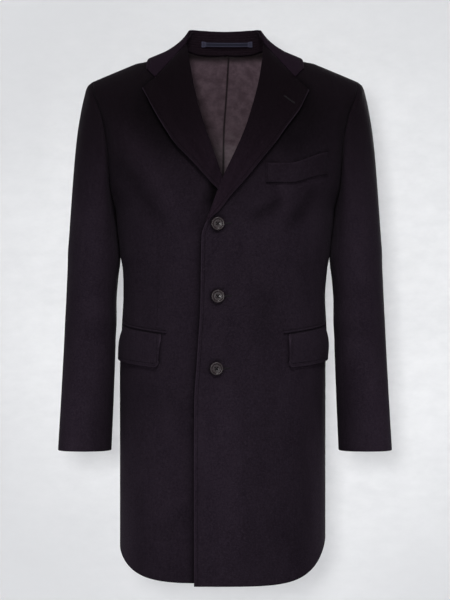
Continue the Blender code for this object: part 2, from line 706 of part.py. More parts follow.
def seam_offsets(grids, normals, groups):
    """The way inward at each point, shared by the pieces that meet there so that walls mitre.

    groups tells body pieces from sleeves: near the armpit, where the two turn away from each
    other, each keeps its own direction.
    """
    meeting = {}
    for name, grid in grids.items():
        rows, columns = grid.shape[:2]
        for index in rim_loop(rows, columns):
            place = divmod(index, columns)
            key = tuple(np.round(grid[place] * 1e5).astype(int))
            meeting.setdefault(key, []).append((name, place))
    inward = {name: -normal for name, normal in normals.items()}
    for members in meeting.values():
        by_group = {}
        for name, place in members:
            by_group.setdefault(groups[name], []).append(normals[name][place])
        own = {group: unit(np.sum(found, axis=0)) for group, found in by_group.items()}
        height = grids[members[0][0]][members[0][1]][2]
        together = unit(np.sum(list(own.values()), axis=0))
        share = ease(height, ARMHOLE_LOW, ARMHOLE_LOW + 0.05) if len(own) > 1 else 1.0
        for name, place in members:
            mine = own[groups[name]]
            common = together / max(float(together @ mine), 1 / MITRE_LIMIT)
            inward[name][place] = -mix(mine, common, share)
    return inward


# ---- Materials ----


def cloth(name, colour, roughness):
    material = bpy.data.materials.new(name)
    material.use_nodes = True
    shader = material.node_tree.nodes["Principled BSDF"]
    shader.inputs["Base Color"].default_value = (*colour, 1.0)
    shader.inputs["Roughness"].default_value = roughness
    shader.inputs["Metallic"].default_value = 0.0
    return material


WOOL_COLOUR, WOOL_ROUGH = (0.011, 0.009, 0.013), 0.9
LINING_COLOUR, LINING_ROUGH = (0.045, 0.033, 0.041), 0.45
HORN_COLOUR, HORN_ROUGH = (0.040, 0.036, 0.035), 0.35
LOOP_COLOUR, LOOP_ROUGH = (0.020, 0.021, 0.050), 0.7


def clear_scene():
    for item in list(bpy.data.objects):
        bpy.data.objects.remove(item, do_unlink=True)


# ---- The pieces ----


def make_body_and_sleeves():
    """Fronts, backs and two-piece sleeves, mitred where they meet, and the back's lining."""
    grids, normals, groups = {}, {}, {}
    for side, word in SIDES:
        outward_columns = {FRONT: side == LEFT, BACK: side == RIGHT}
        for face, name, grid in (
            (FRONT, "front_" + word, front_panel(side)),
            (BACK, "back_" + word, back_panel(side)),
        ):
            grid = grid if outward_columns[face] else grid[:, ::-1]
            grids[name], normals[name], groups[name] = grid, grid_normals(grid), "body"
        tube = sleeve_tube(side)[::-1]
        if side == RIGHT:
            tube = tube[:, ::-1]
            tube = np.roll(tube, 1, axis=1)
        tube_normals = grid_normals(tube, closed=True)
        count = tube.shape[1]
        front_seam, back_seam = (2, count - 4) if side == LEFT else (count - 2, 4)
        first, last = sorted((front_seam, back_seam))
        over = np.arange(first, last + 1)
        under = np.arange(last, first + count + 1) % count
        for name, picks in (("top_sleeve_" + word, over), ("under_sleeve_" + word, under)):
            grids[name], normals[name] = tube[:, picks], tube_normals[:, picks]
            groups[name] = "sleeve"
    inward = seam_offsets(grids, normals, groups)
    for name, grid in grids.items():
        gap = SLEEVE_GAP if groups[name] == "sleeve" else SEAM_GAP * 0.6
        wall(name, grid, cloth(name, WOOL_COLOUR, WOOL_ROUGH), WOOL, inward[name], gap)
    for word in ("left", "right"):
        make_lining(word, grids["back_" + word], inward["back_" + word])
    return grids


def gorge(share, below):
    """|x| and height along the gorge from the roll to the notch, moved down from its line."""
    (x0, z0), (x1, z1) = GORGE
    length = math.hypot(x1 - x0, z1 - z0)
    x = mix(x0, x1, share) + below * (z1 - z0) / length
    return x, mix(z0, z1, share) - below * (x1 - x0) / length


def lapel_grid(side, rows=15, columns=8):
    """A lapel lying on its front: rows from the break up to the gorge."""
    table = LAPEL_OUTLINE[side]
    grid_x, grid_z, lift = [], [], []
    share = np.linspace(0, 1, columns + 1)
    for along in np.linspace(1, 0, rows + 1):
        roll_z = column(table, "roll_z")(along)
        roll_x = FRONT_EDGE[side](min(roll_z, 0.030)) - side * ROLL_OVERHANG
        outer = column(table, "outer_x")(along), column(table, "outer_z")(along)
        x, z = mix(roll_x, outer[0], share), mix(roll_z, outer[1], share)
        before = np.clip(share / NOTCH_SHARE, 0, 1)
        past = np.clip((share - NOTCH_SHARE) / (1 - NOTCH_SHARE), 0, 1)
        top_x, top_z = gorge(before, GORGE_GAP)
        top_x, top_z = mix(side * top_x, outer[0], past), mix(top_z, outer[1], past)
        near_top = ease(along, 0.30, 0.0)
        grid_x.append(mix(x, top_x, near_top))
        grid_z.append(mix(z, top_z, near_top))
        soft = LAPEL_ROLL * ease(along, 1.0, 0.75) * ease(along, 0.0, 0.15)
        lift.append(soft * np.sin(np.pi * np.clip(share / 0.7, 0, 1)))
    grid_x, grid_z = np.array(grid_x), np.array(grid_z)
    return front_point(side, grid_x, grid_z, np.array(lift) + LAY_GAP + FOLDED_WOOL)


def oriented(grid, side):
    """Columns that run away from the middle, turned to run left to right as seen in front."""
    return grid if side == LEFT else grid[:, ::-1]


def make_lapels(fronts):
    for side, word in SIDES:
        name = "lapel_" + word
        grid = clear_of(oriented(lapel_grid(side), side), fronts[side], LAY_GAP + FOLDED_WOOL)
        wall(name, grid, cloth(name, WOOL_COLOUR, WOOL_ROUGH), FOLDED_WOOL)


def collar_row(where):
    """The collar table read at one place along the neck."""
    return {name: float(column(COLLAR, name)(where)) for name in COLLAR[0][1:]}


def collar_leaf_grid():
    """The collar's fall: columns round the neck from right to left, rows from edge to roll."""
    down = np.array([1.0, 0.88, COLLAR_MID, 0.62, 0.48, 0.34, 0.20, 0.09, 0.0])
    past = np.clip((down - COLLAR_MID) / (1 - COLLAR_MID), 0, 1)
    before = np.clip(down / COLLAR_MID, 0, 1)
    half = []
    for where in LEAF_COLUMNS:
        row = collar_row(where)
        laid = []
        for share in past[down >= COLLAR_MID]:
            x, y = mix(row["mid_x"], row["edge_x"], share), mix(row["mid_y"], row["edge_y"], share)
            spring = COLLAR_SPRING * math.exp(-(((y - RIDGE_Y) / SEAM_ROUND) ** 2))
            laid.append(drape(x, y, LAY_GAP + FOLDED_WOOL + spring * ease(where, 1.0, 0.88)))
        laid = np.array(laid)
        roll = np.array([row["roll_x"], row["roll_y"], row["roll_z"]])
        free = mix(roll, laid[0], down[down >= COLLAR_MID][:, None])
        free = free + np.array([0, COLLAR_BULGE, 0])
        laid[1:] = mix(free[1:], laid[1:], ease(where, 0.40, 0.62))
        bend = mix(roll, laid[-1], np.array([0.30, 0.45, row["sag"]]))
        t = before[down < COLLAR_MID][:, None]
        fall = (1 - t) ** 2 * roll + 2 * t * (1 - t) * bend + t**2 * laid[-1]
        half.append(np.concatenate([laid, fall]))
    x, z = gorge(before, -GORGE_GAP)
    x, z = mix(x, COLLAR_TIP[0], past), mix(z, COLLAR_TIP[1], past)
    half[-1] = lay_on(x, np.minimum(z, ridge_height(x) - 0.0005), FRONT, LAY_GAP + FOLDED_WOOL)
    half = np.array(half).transpose(1, 0, 2)
    mirror = half[:, :0:-1] * np.array([-1.0, 1, 1])
    return np.concatenate([mirror, half], axis=1)


def collar_stand_grid():
    """The stand inside the collar: columns from right to left, rows from neckline to top."""
    half = []
    for where in np.linspace(0, STAND_END, 12):
        row = collar_row(where)
        inside = unit(np.array([-row["roll_x"], -row["roll_y"] - 0.02, 0.0]))
        top = np.array([row["roll_x"], row["roll_y"], row["roll_z"] - STAND_DROP])
        top = top + inside * STAND_INSET
        x = NECK_X * math.sin(math.radians(90 * where / STAND_END)) ** 0.95 * 0.985
        base = body_point(turn_of(x, neck_top(x)), neck_top(x), BACK)
        base = base + inside * 0.0012 + np.array([0, 0, 2 * SEAM_GAP])
        half.append(np.array([mix(base, top, share) for share in (0, 0.33, 0.67, 1)]))
    half = np.array(half).transpose(1, 0, 2)
    mirror = half[:, :0:-1] * np.array([-1.0, 1, 1])
    return np.concatenate([mirror, half], axis=1)


def make_collar(body):
    leaf = clear_of(collar_leaf_grid()[:, ::-1], body, LAY_GAP + FOLDED_WOOL)
    wall("collar_leaf", leaf, cloth("collar_leaf", WOOL_COLOUR, WOOL_ROUGH), FOLDED_WOOL)
    stand = collar_stand_grid()[:, ::-1]
    wall("collar_stand", stand, cloth("collar_stand", WOOL_COLOUR, WOOL_ROUGH), STAND_THICK)


def flap_grid(side, rows=5, columns=13):
    share = (1 - np.cos(np.linspace(0, math.pi, columns + 1))) / 2
    start = turn_of(side * FLAP_INNER_X, FLAP_TOP)
    grid = []
    for down in np.linspace(1, 0, rows + 1):
        top = FLAP_TOP + FLAP_RISE * share
        from_end = np.minimum(share, 1 - share) * 0.15
        corner = FLAP_CORNER * (1 - np.sqrt(1 - (1 - np.clip(from_end / FLAP_CORNER, 0, 1)) ** 2))
        z = top - (FLAP_HEIGHT - corner) * down
        turn = mix(start, side * mix(*FLAP_END_TURNS, down), share)
        belly = FLAP_BELLY * math.sin(math.pi * min(down, 0.95)) + FLAP_DROOP * down
        lift = LAY_GAP + FOLDED_WOOL + belly
        grid.append(body_point(turn, z, FRONT) + body_normal(turn, z, FRONT) * lift)
    return np.array(grid)


def jet_grid(side, columns=9):
    share = np.linspace(0, 1, columns + 1)
    turn = mix(turn_of(side * JET_INNER_X, FLAP_TOP), side * JET_END_TURN, share)
    flap_ends = turn_of(side * FLAP_INNER_X, FLAP_TOP), side * FLAP_END_TURNS[0]
    along_flap = (turn - flap_ends[0]) / (flap_ends[1] - flap_ends[0])
    grid = []
    for up in (0, 0.5, 1):
        z = FLAP_TOP + FLAP_RISE * along_flap + 0.0006 + JET_HEIGHT * up
        lift = LAY_GAP + JET_THICK + 0.0006 * (1 - abs(2 * up - 1))
        grid.append(body_point(turn, z, FRONT) + body_normal(turn, z, FRONT) * lift)
    return np.array(grid)


def welt_grid(columns=9, rows=3):
    share = np.linspace(0, 1, columns + 1)
    x = mix(*WELT_X, share)
    height = mix(*WELT_HEIGHT, ease(share, *WELT_RISE))
    low = mix(*WELT_LOW, ease(share, *WELT_RISE))
    grid = []
    for up in np.linspace(0, 1, rows + 1):
        grid.append(front_point(LEFT, x, low + height * up, LAY_GAP + WELT_THICK))
    return np.array(grid)


def make_pockets(fronts):
    for side, word in SIDES:
        flap, jet = "pocket_flap_" + word, "pocket_jet_" + word
        grid = clear_of(oriented(flap_grid(side), side), fronts[side], LAY_GAP + FOLDED_WOOL)
        wall(flap, grid, cloth(flap, WOOL_COLOUR, WOOL_ROUGH), FOLDED_WOOL)
        grid = clear_of(oriented(jet_grid(side), side), fronts[side], LAY_GAP + JET_THICK)
        wall(jet, grid, cloth(jet, WOOL_COLOUR, WOOL_ROUGH), JET_THICK)
    grid = clear_of(welt_grid(), fronts[LEFT], LAY_GAP + WELT_THICK)
    wall("breast_welt", grid, cloth("breast_welt", WOOL_COLOUR, WOOL_ROUGH), WELT_THICK)


def make_lining(word, back, inward):
    """Half of the back lining: the part of the back that shows in the neck, moved in."""
    low = int(np.argmin(np.abs(back[:, 0, 2] - LINING_LOW)))
    columns = slice(-1 - LINING_COLUMNS, None) if word == "left" else slice(0, LINING_COLUMNS + 1)
    grid = (back + inward * (WOOL + LAY_GAP))[low:, columns]
    name = "lining_" + word
    wall(name, grid, cloth(name, LINING_COLOUR, LINING_ROUGH), LINING, inward[low:, columns])


def make_hanger_loop():
    """A strip stitched at its two ends to the stand's inner face."""
    stand = collar_stand_grid()
    inner = stand + grid_normals(stand) * STAND_THICK
    share = np.linspace(0, 1, 13)
    x = mix(LOOP_X[0], LOOP_X[1], share)
    middle = mix(LOOP_HEIGHTS[0], LOOP_HEIGHTS[1], share)
    y = np.interp(x, inner[1, :, 0], inner[1, :, 1]) - LOOP_SAG * np.sin(np.pi * share) ** 0.8
    grid = np.array(
        [np.stack([x, y, middle + LOOP_WIDTH * up], axis=-1) for up in (-0.5, 0, 0.5)]
    )
    grid = clear_of(grid, surface_samples({"inner_face": inner}), LAY_GAP + LOOP_THICK)
    wall("hanger_loop", grid, cloth("hanger_loop", LOOP_COLOUR, LOOP_ROUGH), LOOP_THICK)


def turned_button(name, material):
    """A horn button on the Y axis, its face toward -Y."""
    angles = np.radians(np.arange(BUTTON_SIDES) * 360 / BUTTON_SIDES)
    points, faces = [(0, -BUTTON_PROFILE[1][1], 0)], []
    for share, height in BUTTON_PROFILE[2:]:
        radius = share * BUTTON_RADIUS
        points += [(radius * math.cos(a), -height, radius * math.sin(a)) for a in angles]
    rings = len(BUTTON_PROFILE) - 2
    points.append((0, -BUTTON_PROFILE[-1][1], 0))
    for i in range(BUTTON_SIDES):
        j = (i + 1) % BUTTON_SIDES
        faces.append((0, 1 + i, 1 + j))
        for ring in range(rings - 1):
            a = 1 + ring * BUTTON_SIDES
            b = a + BUTTON_SIDES
            faces.append((a + i, b + i, b + j, a + j))
        last = 1 + (rings - 1) * BUTTON_SIDES
        faces.append((last + i, len(points) - 1, last + j))
    return make_object(name, points, faces, material)


def drill(button):
    """Four holes through the button's middle, cut by one hidden cutter."""
    points, faces, sides = [], [], 8
    for dx in (-1, 1):
        for dz in (-1, 1):
            start = len(points)
            for y in (-0.01, 0.01):
                for i in range(sides):
                    angle = math.radians(360 * (i + 0.5) / sides)
                    x = dx * HOLE_OFFSET + HOLE_RADIUS * math.cos(angle)
                    z = dz * HOLE_OFFSET + HOLE_RADIUS * math.sin(angle)
                    points.append((x, y, z))
            for i in range(sides):
                j = (i + 1) % sides
                faces.append((start + i, start + sides + i, start + sides + j, start + j))
            faces.append(tuple(start + i for i in range(sides)))
            faces.append(tuple(start + sides + i for i in reversed(range(sides))))
    cutter = make_object("cutter_" + button.name, points, faces, button.data.materials[0])
    cutter.hide_render = True
    cutter.display_type = "WIRE"
    cutter.matrix_world = button.matrix_world
    holes = button.modifiers.new("holes", "BOOLEAN")
    holes.operation = "DIFFERENCE"
    holes.solver = "EXACT"
    holes.object = cutter


def make_buttons():
    for name, x, z in BUTTONS[1:]:
        button = turned_button(name, cloth(name, HORN_COLOUR, HORN_ROUGH))
        place = front_point(LEFT, np.array(x), np.array(z), BUTTON_LIFT)
        button.location = tuple(float(value) for value in place)
        bpy.context.view_layer.update()
        drill(button)


def main():
    clear_scene()
    grids = make_body_and_sleeves()
    fronts = {}
    for side, word in SIDES:
        name = "front_" + word
        fronts[side] = surface_samples({name: grids[name]})
    make_lapels(fronts)
    make_collar(surface_samples({n: g for n, g in grids.items() if "sleeve" not in n}))
    make_pockets(fronts)
    make_hanger_loop()
    make_buttons()


main()
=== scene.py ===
"""Looks of the wool overcoat: every cloth piece again on its solid's form, finer and with its sewing.

The tables and the surface's formulas are the ones that the solids are worked out from.
"""

import json
import math

import bmesh
import bpy
import numpy as np
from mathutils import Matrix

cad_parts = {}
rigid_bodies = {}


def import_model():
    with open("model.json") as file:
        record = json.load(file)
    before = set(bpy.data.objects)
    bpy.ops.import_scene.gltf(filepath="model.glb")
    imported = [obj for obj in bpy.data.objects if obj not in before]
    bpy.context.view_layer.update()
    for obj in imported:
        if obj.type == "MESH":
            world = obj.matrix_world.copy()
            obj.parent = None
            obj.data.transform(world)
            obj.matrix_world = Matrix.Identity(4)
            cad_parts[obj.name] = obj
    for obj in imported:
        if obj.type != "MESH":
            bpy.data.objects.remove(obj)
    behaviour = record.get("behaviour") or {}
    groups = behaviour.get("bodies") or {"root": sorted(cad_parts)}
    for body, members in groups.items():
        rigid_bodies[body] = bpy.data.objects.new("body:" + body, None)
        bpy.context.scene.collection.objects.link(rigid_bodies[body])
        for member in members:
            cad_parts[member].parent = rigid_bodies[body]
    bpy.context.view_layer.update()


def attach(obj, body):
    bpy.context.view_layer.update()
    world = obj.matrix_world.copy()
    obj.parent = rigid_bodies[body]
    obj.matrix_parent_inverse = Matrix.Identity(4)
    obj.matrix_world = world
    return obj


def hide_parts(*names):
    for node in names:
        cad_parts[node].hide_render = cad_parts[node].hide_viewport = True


LEFT, RIGHT = 1, -1  # the wearer's sides, as signs of X
SIDES = ((LEFT, "left"), (RIGHT, "right"))
FRONT, BACK = -1, 1  # as signs of Y

# ---- Cloth ----
WOOL = 0.0026  # thickness of a body panel
FOLDED_WOOL = 0.0032  # a piece made of two layers: lapel, collar, flap
LINING = 0.0010
LINING_SLACK = 0.0016  # between the lining and the cloth under it
SEAM_GAP = 0.0003  # between two pieces at a seam
LAY_GAP = 0.0006  # between a panel and what lies on it

# ---- Body: level sections of the coat, from the hem to above the shoulders ----
BODY = (
    ("height", "half_width", "front", "back", "shift"),
    (-0.900, 0.1772, 0.1400, 0.1420, -0.0040),
    (-0.700, 0.1772, 0.1420, 0.1450, -0.0040),
    (-0.520, 0.1774, 0.1435, 0.1440, -0.0040),
    (-0.450, 0.1767, 0.1410, 0.1360, -0.0015),
    (-0.390, 0.1741, 0.1385, 0.1280, -0.0013),
    (-0.345, 0.1764, 0.1394, 0.1255, 0.0000),
    (-0.322, 0.1806, 0.1404, 0.1265, 0.0000),
    (-0.290, 0.1838, 0.1420, 0.1290, 0.0000),
    (-0.268, 0.1866, 0.1427, 0.1315, 0.0000),
    (-0.245, 0.1885, 0.1435, 0.1340, 0.0000),
    (-0.205, 0.2035, 0.1435, 0.1380, 0.0000),
    (-0.165, 0.2150, 0.1420, 0.1400, 0.0000),
    (-0.120, 0.2240, 0.1385, 0.1390, 0.0000),
    (-0.080, 0.2345, 0.1350, 0.1360, 0.0000),
    (-0.040, 0.2500, 0.1320, 0.1330, 0.0000),
    (0.060, 0.2620, 0.1280, 0.1300, 0.0000),
)
SQUARENESS = 2.6  # 2 is an ellipse, more is squarer

# ---- Shoulders and armholes ----
NECK_X = 0.078  # where the shoulder seam meets the neckline
TIP_X = 0.229  # where it meets the sleeve
SHOULDER_SLOPE = 0.429  # fall of the seam for each unit outward
RIDGE_TOP = 0.0783  # its height, carried on to the middle line
RIDGE_ROUND = 0.028  # half the width over which the two seams' lines are rounded together
RIDGE_Y = 0.006
COLLAR_DIP = 0.0056  # how far the shoulder seam sinks where the collar lies over it
COLLAR_DIP_INNER = (0.068, 0.095)  # |x| where that starts and where it is full
COLLAR_DIP_OUTER = (0.157, 0.128)
NAPE_HEIGHT = 0.0305
NECKLINE_DIP = 0.002  # how far the neckline drops between the nape and the shoulder seam
SEAM_ROUND = 0.025  # how far from the shoulder seam what lies over it is rounded
DRAPE_DROP = 0.100  # no piece is draped lower than this below the shoulder seam
FALL_AT_NECK = {FRONT: 0.240, BACK: 0.200}  # drop below the seam to the full depth
FALL_AT_TIP = 0.125
ARMHOLE_LOW = -0.245
ARMHOLE_DEPTH = {FRONT: 0.078, BACK: 0.084}
ARMHOLE_POINT = 1.2  # above 1 the oval narrows toward its top
TIP_TURN = 8 / 9  # share of the armhole from which it turns toward the shoulder seam

# ---- Front edges: from the hem up to where the roll line meets the shoulder seam ----
LEFT_EDGE = (
    ("height", "x"),
    (-0.900, -0.0517),
    (-0.700, -0.0520),
    (-0.570, -0.0515),
    (-0.500, -0.0470),
    (-0.400, -0.0412),
    (-0.320, -0.0400),
    (-0.290, -0.0392),
    (-0.2750, -0.0350),
    (-0.2544, -0.0250),
    (-0.2344, -0.0180),
    (-0.1968, -0.0040),
    (-0.1421, 0.0218),
    (-0.1074, 0.0361),
    (-0.0758, 0.0459),
    (-0.0395, 0.0557),
    (-0.0057, 0.0633),
    (0.0235, 0.0675),
    (0.0421, 0.0780),
)
RIGHT_EDGE = (
    ("height", "x"),
    (-0.900, 0.0180),
    (-0.500, 0.0180),
    (-0.320, 0.0170),
    (-0.270, 0.0135),
    (-0.230, 0.0060),
    (-0.1932, -0.0052),
    (-0.1560, -0.0181),
    (-0.1217, -0.0300),
    (-0.0848, -0.0420),
    (-0.0445, -0.0519),
    (-0.0134, -0.0580),
    (0.0200, -0.0645),
    (0.0421, -0.0780),
)
UNDERLAP = (  # how far the right front is pressed in beneath the left one
    ("height", "inset"),
    (-0.900, 0.0034),
    (-0.310, 0.0036),
    (-0.275, 0.0088),
    (-0.180, 0.0108),
    (-0.130, 0.0040),
    (0.060, 0.0000),
)
UNDERLAP_RAMP = 0.022
UNDERLAP_REACH = 0.007  # how far beyond the left front's edge the full inset reaches

# ---- Hem: heights at the middle and at the side seams ----
HEM_FRONT = {LEFT: -0.8775, RIGHT: -0.8723}
HEM_BACK = -0.872
HEM_SIDE = {LEFT: -0.8055, RIGHT: -0.8216}
HEM_ROUND = (-0.05, 0.95)  # shares of the depth between which the hem rises to the side
HEM_SPREAD = 0.330  # height of the body over which the rows bend to the hem's line

# ---- Soft folds of the body, with painted shade and light: a long shallow trough or ridge from one point to another ----
FOLDS = (  # tone is the painted shade (below 0) and painted light (above 0) along each; rows whose out is 0 only paint shade and light
    ("side", "face", "x0", "z0", "x1", "z1", "out", "half_width", "tone"),
    (RIGHT, FRONT, -0.159, -0.047, -0.078, -0.160, -0.0010, 0.022, -0.28),
    (RIGHT, FRONT, -0.167, -0.120, -0.084, -0.256, 0.0026, 0.013, 0.20),
    (RIGHT, FRONT, -0.179, -0.165, -0.112, -0.266, -0.0032, 0.010, -0.30),
    (LEFT, FRONT, 0.159, -0.047, 0.092, -0.164, -0.0010, 0.022, -0.28),
    (LEFT, FRONT, 0.094, -0.160, 0.105, -0.262, 0.0018, 0.009, 0.22),
    (LEFT, FRONT, 0.164, -0.169, 0.128, -0.244, 0.0018, 0.009, 0.20),
    (LEFT, FRONT, 0.152, -0.208, 0.110, -0.274, -0.0032, 0.010, -0.44),
    (LEFT, FRONT, 0.097, -0.232, 0.046, -0.262, -0.0024, 0.008, -0.40),
    (RIGHT, FRONT, -0.116, -0.016, -0.138, -0.038, 0.0000, 0.005, -0.65),
    (LEFT, FRONT, 0.119, -0.020, 0.143, -0.042, 0.0000, 0.005, -0.65),
    (LEFT, FRONT, 0.067, -0.380, 0.062, -0.480, -0.0012, 0.018, -0.24),
    (LEFT, FRONT, 0.150, -0.420, 0.120, -0.330, -0.0020, 0.018, -0.05),
    (RIGHT, FRONT, -0.150, -0.430, -0.115, -0.340, -0.0020, 0.018, -0.05),
    (RIGHT, FRONT, -0.150, -0.565, -0.062, -0.585, -0.0014, 0.020, -0.10),
    (RIGHT, FRONT, -0.112, -0.796, -0.064, -0.752, -0.0018, 0.012, -0.18),
    (LEFT, FRONT, -0.010, -0.540, -0.012, -0.830, 0.0010, 0.022, 0.15),
    (LEFT, FRONT, 0.110, -0.560, 0.128, -0.860, 0.0030, 0.026, -0.05),
    (RIGHT, FRONT, -0.112, -0.560, -0.130, -0.850, 0.0028, 0.026, 0.12),
    (RIGHT, FRONT, -0.180, -0.070, -0.085, -0.135, 0.0000, 0.024, -0.16),
    (LEFT, FRONT, 0.190, -0.090, 0.115, -0.145, 0.0000, 0.026, -0.24),
    (RIGHT, FRONT, -0.160, -0.700, -0.050, -0.720, 0.0000, 0.045, 0.10),
    (RIGHT, FRONT, -0.014, -0.198, -0.024, -0.240, 0.0000, 0.008, -0.55),
    (LEFT, FRONT, 0.125, -0.640, 0.135, -0.860, 0.0000, 0.028, -0.06),
    (LEFT, BACK, 0.150, -0.150, 0.105, -0.290, -0.0040, 0.020, -0.08),
    (RIGHT, BACK, -0.152, -0.140, -0.100, -0.300, -0.0044, 0.020, -0.08),
    (LEFT, BACK, 0.080, -0.560, 0.100, -0.880, 0.0045, 0.030, 0.04),
    (RIGHT, BACK, -0.086, -0.540, -0.098, -0.880, 0.0042, 0.028, 0.04),
)

# ---- Sleeves: level sections below the armpit, on the wearer's left ----
SLEEVE = (
    ("height", "centre_x", "centre_y", "half_width", "half_depth"),
    (-0.2900, 0.2270, 0.0040, 0.0427, 0.0740),
    (-0.3220, 0.2265, 0.0036, 0.0453, 0.0715),
    (-0.3630, 0.2293, 0.0030, 0.0437, 0.0690),
    (-0.4200, 0.2316, 0.0000, 0.0439, 0.0640),
    (-0.4700, 0.2333, -0.0040, 0.0444, 0.0600),
    (-0.5700, 0.2373, -0.0140, 0.0453, 0.0540),
    (-0.6556, 0.2412, -0.0230, 0.0459, 0.0500),
)
SLEEVE_SQUARENESS = 2.2
CUFF_HEIGHT = -0.6556
CAP_ROLL = (0.0070, 0.0018)  # out and down: the rounded start of the sleeve head
CAP_ROLLED = 0.03  # share of the way down that the rounded start takes
CAP_FLARE = 0.0186  # how far its outer line goes on outward as it starts to fall
CAP_RETURN = 0.0130  # how far inside the straight sleeve that line stays above it
ELBOW_FOLDS = (
    ("height", "turn", "out", "half_height"),
    (-0.395, 60, -0.0030, 0.016),
    (-0.432, 70, 0.0026, 0.014),
    (-0.462, 50, -0.0028, 0.014),
    (-0.350, 300, 0.0030, 0.022),
    (-0.455, 285, 0.0032, 0.020),
)

# ---- Collar, on the wearer's left, from the middle of the neck to the gorge; the leaf's middle
# ---- and edge are places on the coat, seen from above
COLLAR = (
    ("along", "roll_x", "roll_y", "roll_z", "mid_x", "mid_y", "edge_x", "edge_y", "sag"),
    (0.00, 0.0000, 0.0470, 0.0715, 0.0000, 0.0426, 0.0000, 0.0585, 0.36),
    (0.22, 0.0235, 0.0452, 0.0720, 0.0310, 0.0362, 0.0360, 0.0520, 0.38),
    (0.42, 0.0430, 0.0395, 0.0726, 0.0600, 0.0262, 0.0720, 0.0400, 0.42),
    (0.56, 0.0550, 0.0310, 0.0726, 0.0820, 0.0175, 0.1000, 0.0280, 0.50),
    (0.70, 0.0622, 0.0195, 0.0712, 0.1000, 0.0080, 0.1215, 0.0150, 0.58),
    (0.82, 0.0645, 0.0085, 0.0640, 0.1105, -0.0065, 0.1325, 0.0010, 0.58),
    (0.91, 0.0655, 0.0000, 0.0540, 0.1150, -0.0255, 0.1350, -0.0135, 0.54),
    (1.00, 0.0655, -0.0080, 0.0425, 0.1185, -0.0481, 0.1355, -0.0289, 0.50),
)
COLLAR_BULGE = 0.0012  # outward, where the leaf hangs free behind the neck
COLLAR_SPRING = 0.0016  # how far the leaf stands off the shoulder seam
COLLAR_MID = 0.76  # share of the leaf's width that falls freely from the roll
STAND_END = 0.84  # how far along the neck the stand reaches
STAND_INSET = 0.0042  # the stand lies inside the leaf by this much
STAND_DROP = 0.0035  # of its top edge below the roll
STAND_THICK = 0.0021
STAND_LEAN = 0.02  # how far in front of the middle line its top is drawn toward
STAND_BASE_ROUND, STAND_BASE_WIDTH = 0.95, 0.985  # of its lower edge, against the neckline
STAND_BASE_INSET = 0.0012

# ---- Lapels, in front view, from the gorge to the lowest button of the roll ----
LAPEL_OUTLINE = {
    LEFT: (
        ("along", "roll_z", "outer_x", "outer_z"),
        (0.00, 0.0425, 0.1436, -0.0426),
        (0.16, -0.0057, 0.1300, -0.0730),
        (0.36, -0.0580, 0.1023, -0.1106),
        (0.56, -0.1150, 0.0687, -0.1540),
        (0.76, -0.1760, 0.0358, -0.1943),
        (0.88, -0.2200, 0.0100, -0.2235),
        (0.95, -0.2480, -0.0090, -0.2480),
        (1.00, -0.2660, -0.0250, -0.2620),
    ),
    RIGHT: (
        ("along", "roll_z", "outer_x", "outer_z"),
        (0.00, 0.0425, -0.1414, -0.0390),
        (0.16, -0.0057, -0.1270, -0.0680),
        (0.36, -0.0520, -0.1040, -0.1070),
        (0.56, -0.1000, -0.0800, -0.1400),
        (0.76, -0.1480, -0.0509, -0.1707),
        (0.90, -0.1810, -0.0250, -0.1990),
        (1.00, -0.2080, -0.0030, -0.2210),
    ),
}
COLLAR_TIP = (0.1355, -0.0015)
GORGE = ((0.0655, 0.0425), (0.1190, -0.0185))  # its ends, as |x| and height: roll and notch
GORGE_GAP = 0.0008  # from the gorge's line to each of the two pieces
NOTCH_SHARE = 0.68  # share of the lapel's top edge that is gorge
LAPEL_ROLL = 0.0042  # how far the soft roll stands off the front
LAPEL_LIFT = 0.0050  # how far its outer edge stands off the front
FRONT_LIFT = 0.0034  # how far the overlapping front's edge stands off the one beneath
FRONT_LIFT_REACH, FRONT_LIFT_HEIGHTS = 0.022, (-0.20, -0.24)
ARM_SINK = 0.0030  # depth of the hollow along the armhole seam
BODY_SINK_REACH, SLEEVE_SINK_REACH = 0.013, 0.006  # and its half width on each side of it
ARM_SINK_TOP = (-0.035, -0.080)  # heights between which it comes in below the shoulder
ARM_SINK_LOW = (ARMHOLE_LOW + 0.005, ARMHOLE_LOW + 0.05)  # and above the armpit
ROLL_OVERHANG = 0.0020  # how far the roll reaches past the front's edge

# ---- Pockets ----
FLAP_INNER_X = 0.107
FLAP_TOP = -0.4545
FLAP_RISE = 0.0120  # the flap's top climbs by this toward the side
FLAP_HEIGHT = 0.0570
FLAP_END_TURNS = (70, 87)  # of its top and bottom corner at the side
FLAP_CORNER = 0.009
JET_HEIGHT = 0.0055
JET_INNER_X = 0.098
JET_END_TURN = 75
WELT_X = (0.0682, 0.1715)
WELT_LOW = (-0.2020, -0.1855)  # height of its lower edge at each end
WELT_HEIGHT = (0.0328, 0.0364)  # at each end
WELT_RISE = (0.35, 1.05)  # shares of its length between which it rises
WELT_THICK = 0.0026
JET_THICK = 0.0016

# ---- Buttons ----
BUTTONS = (
    ("name", "x", "z"),
    ("button_top", -0.0120, -0.2704),
    ("button_middle", -0.0120, -0.3917),
    ("button_bottom", -0.0142, -0.5124),
)
BUTTON_RADIUS = 0.01125
BUTTON_PROFILE = (  # radius as a share of the button's, height above its underside
    ("share", "height"),
    (0.00, 0.0024),
    (0.42, 0.0024),
    (0.50, 0.0021),
    (0.66, 0.0022),
    (0.74, 0.0037),
    (0.90, 0.0040),
    (0.99, 0.0030),
    (1.00, 0.0018),
    (0.90, 0.0004),
    (0.70, 0.0000),
)
BUTTON_LIFT = 0.0012
HOLE_RADIUS = 0.0011
HOLE_OFFSET = 0.0021  # of each hole from the middle, along X and along Z

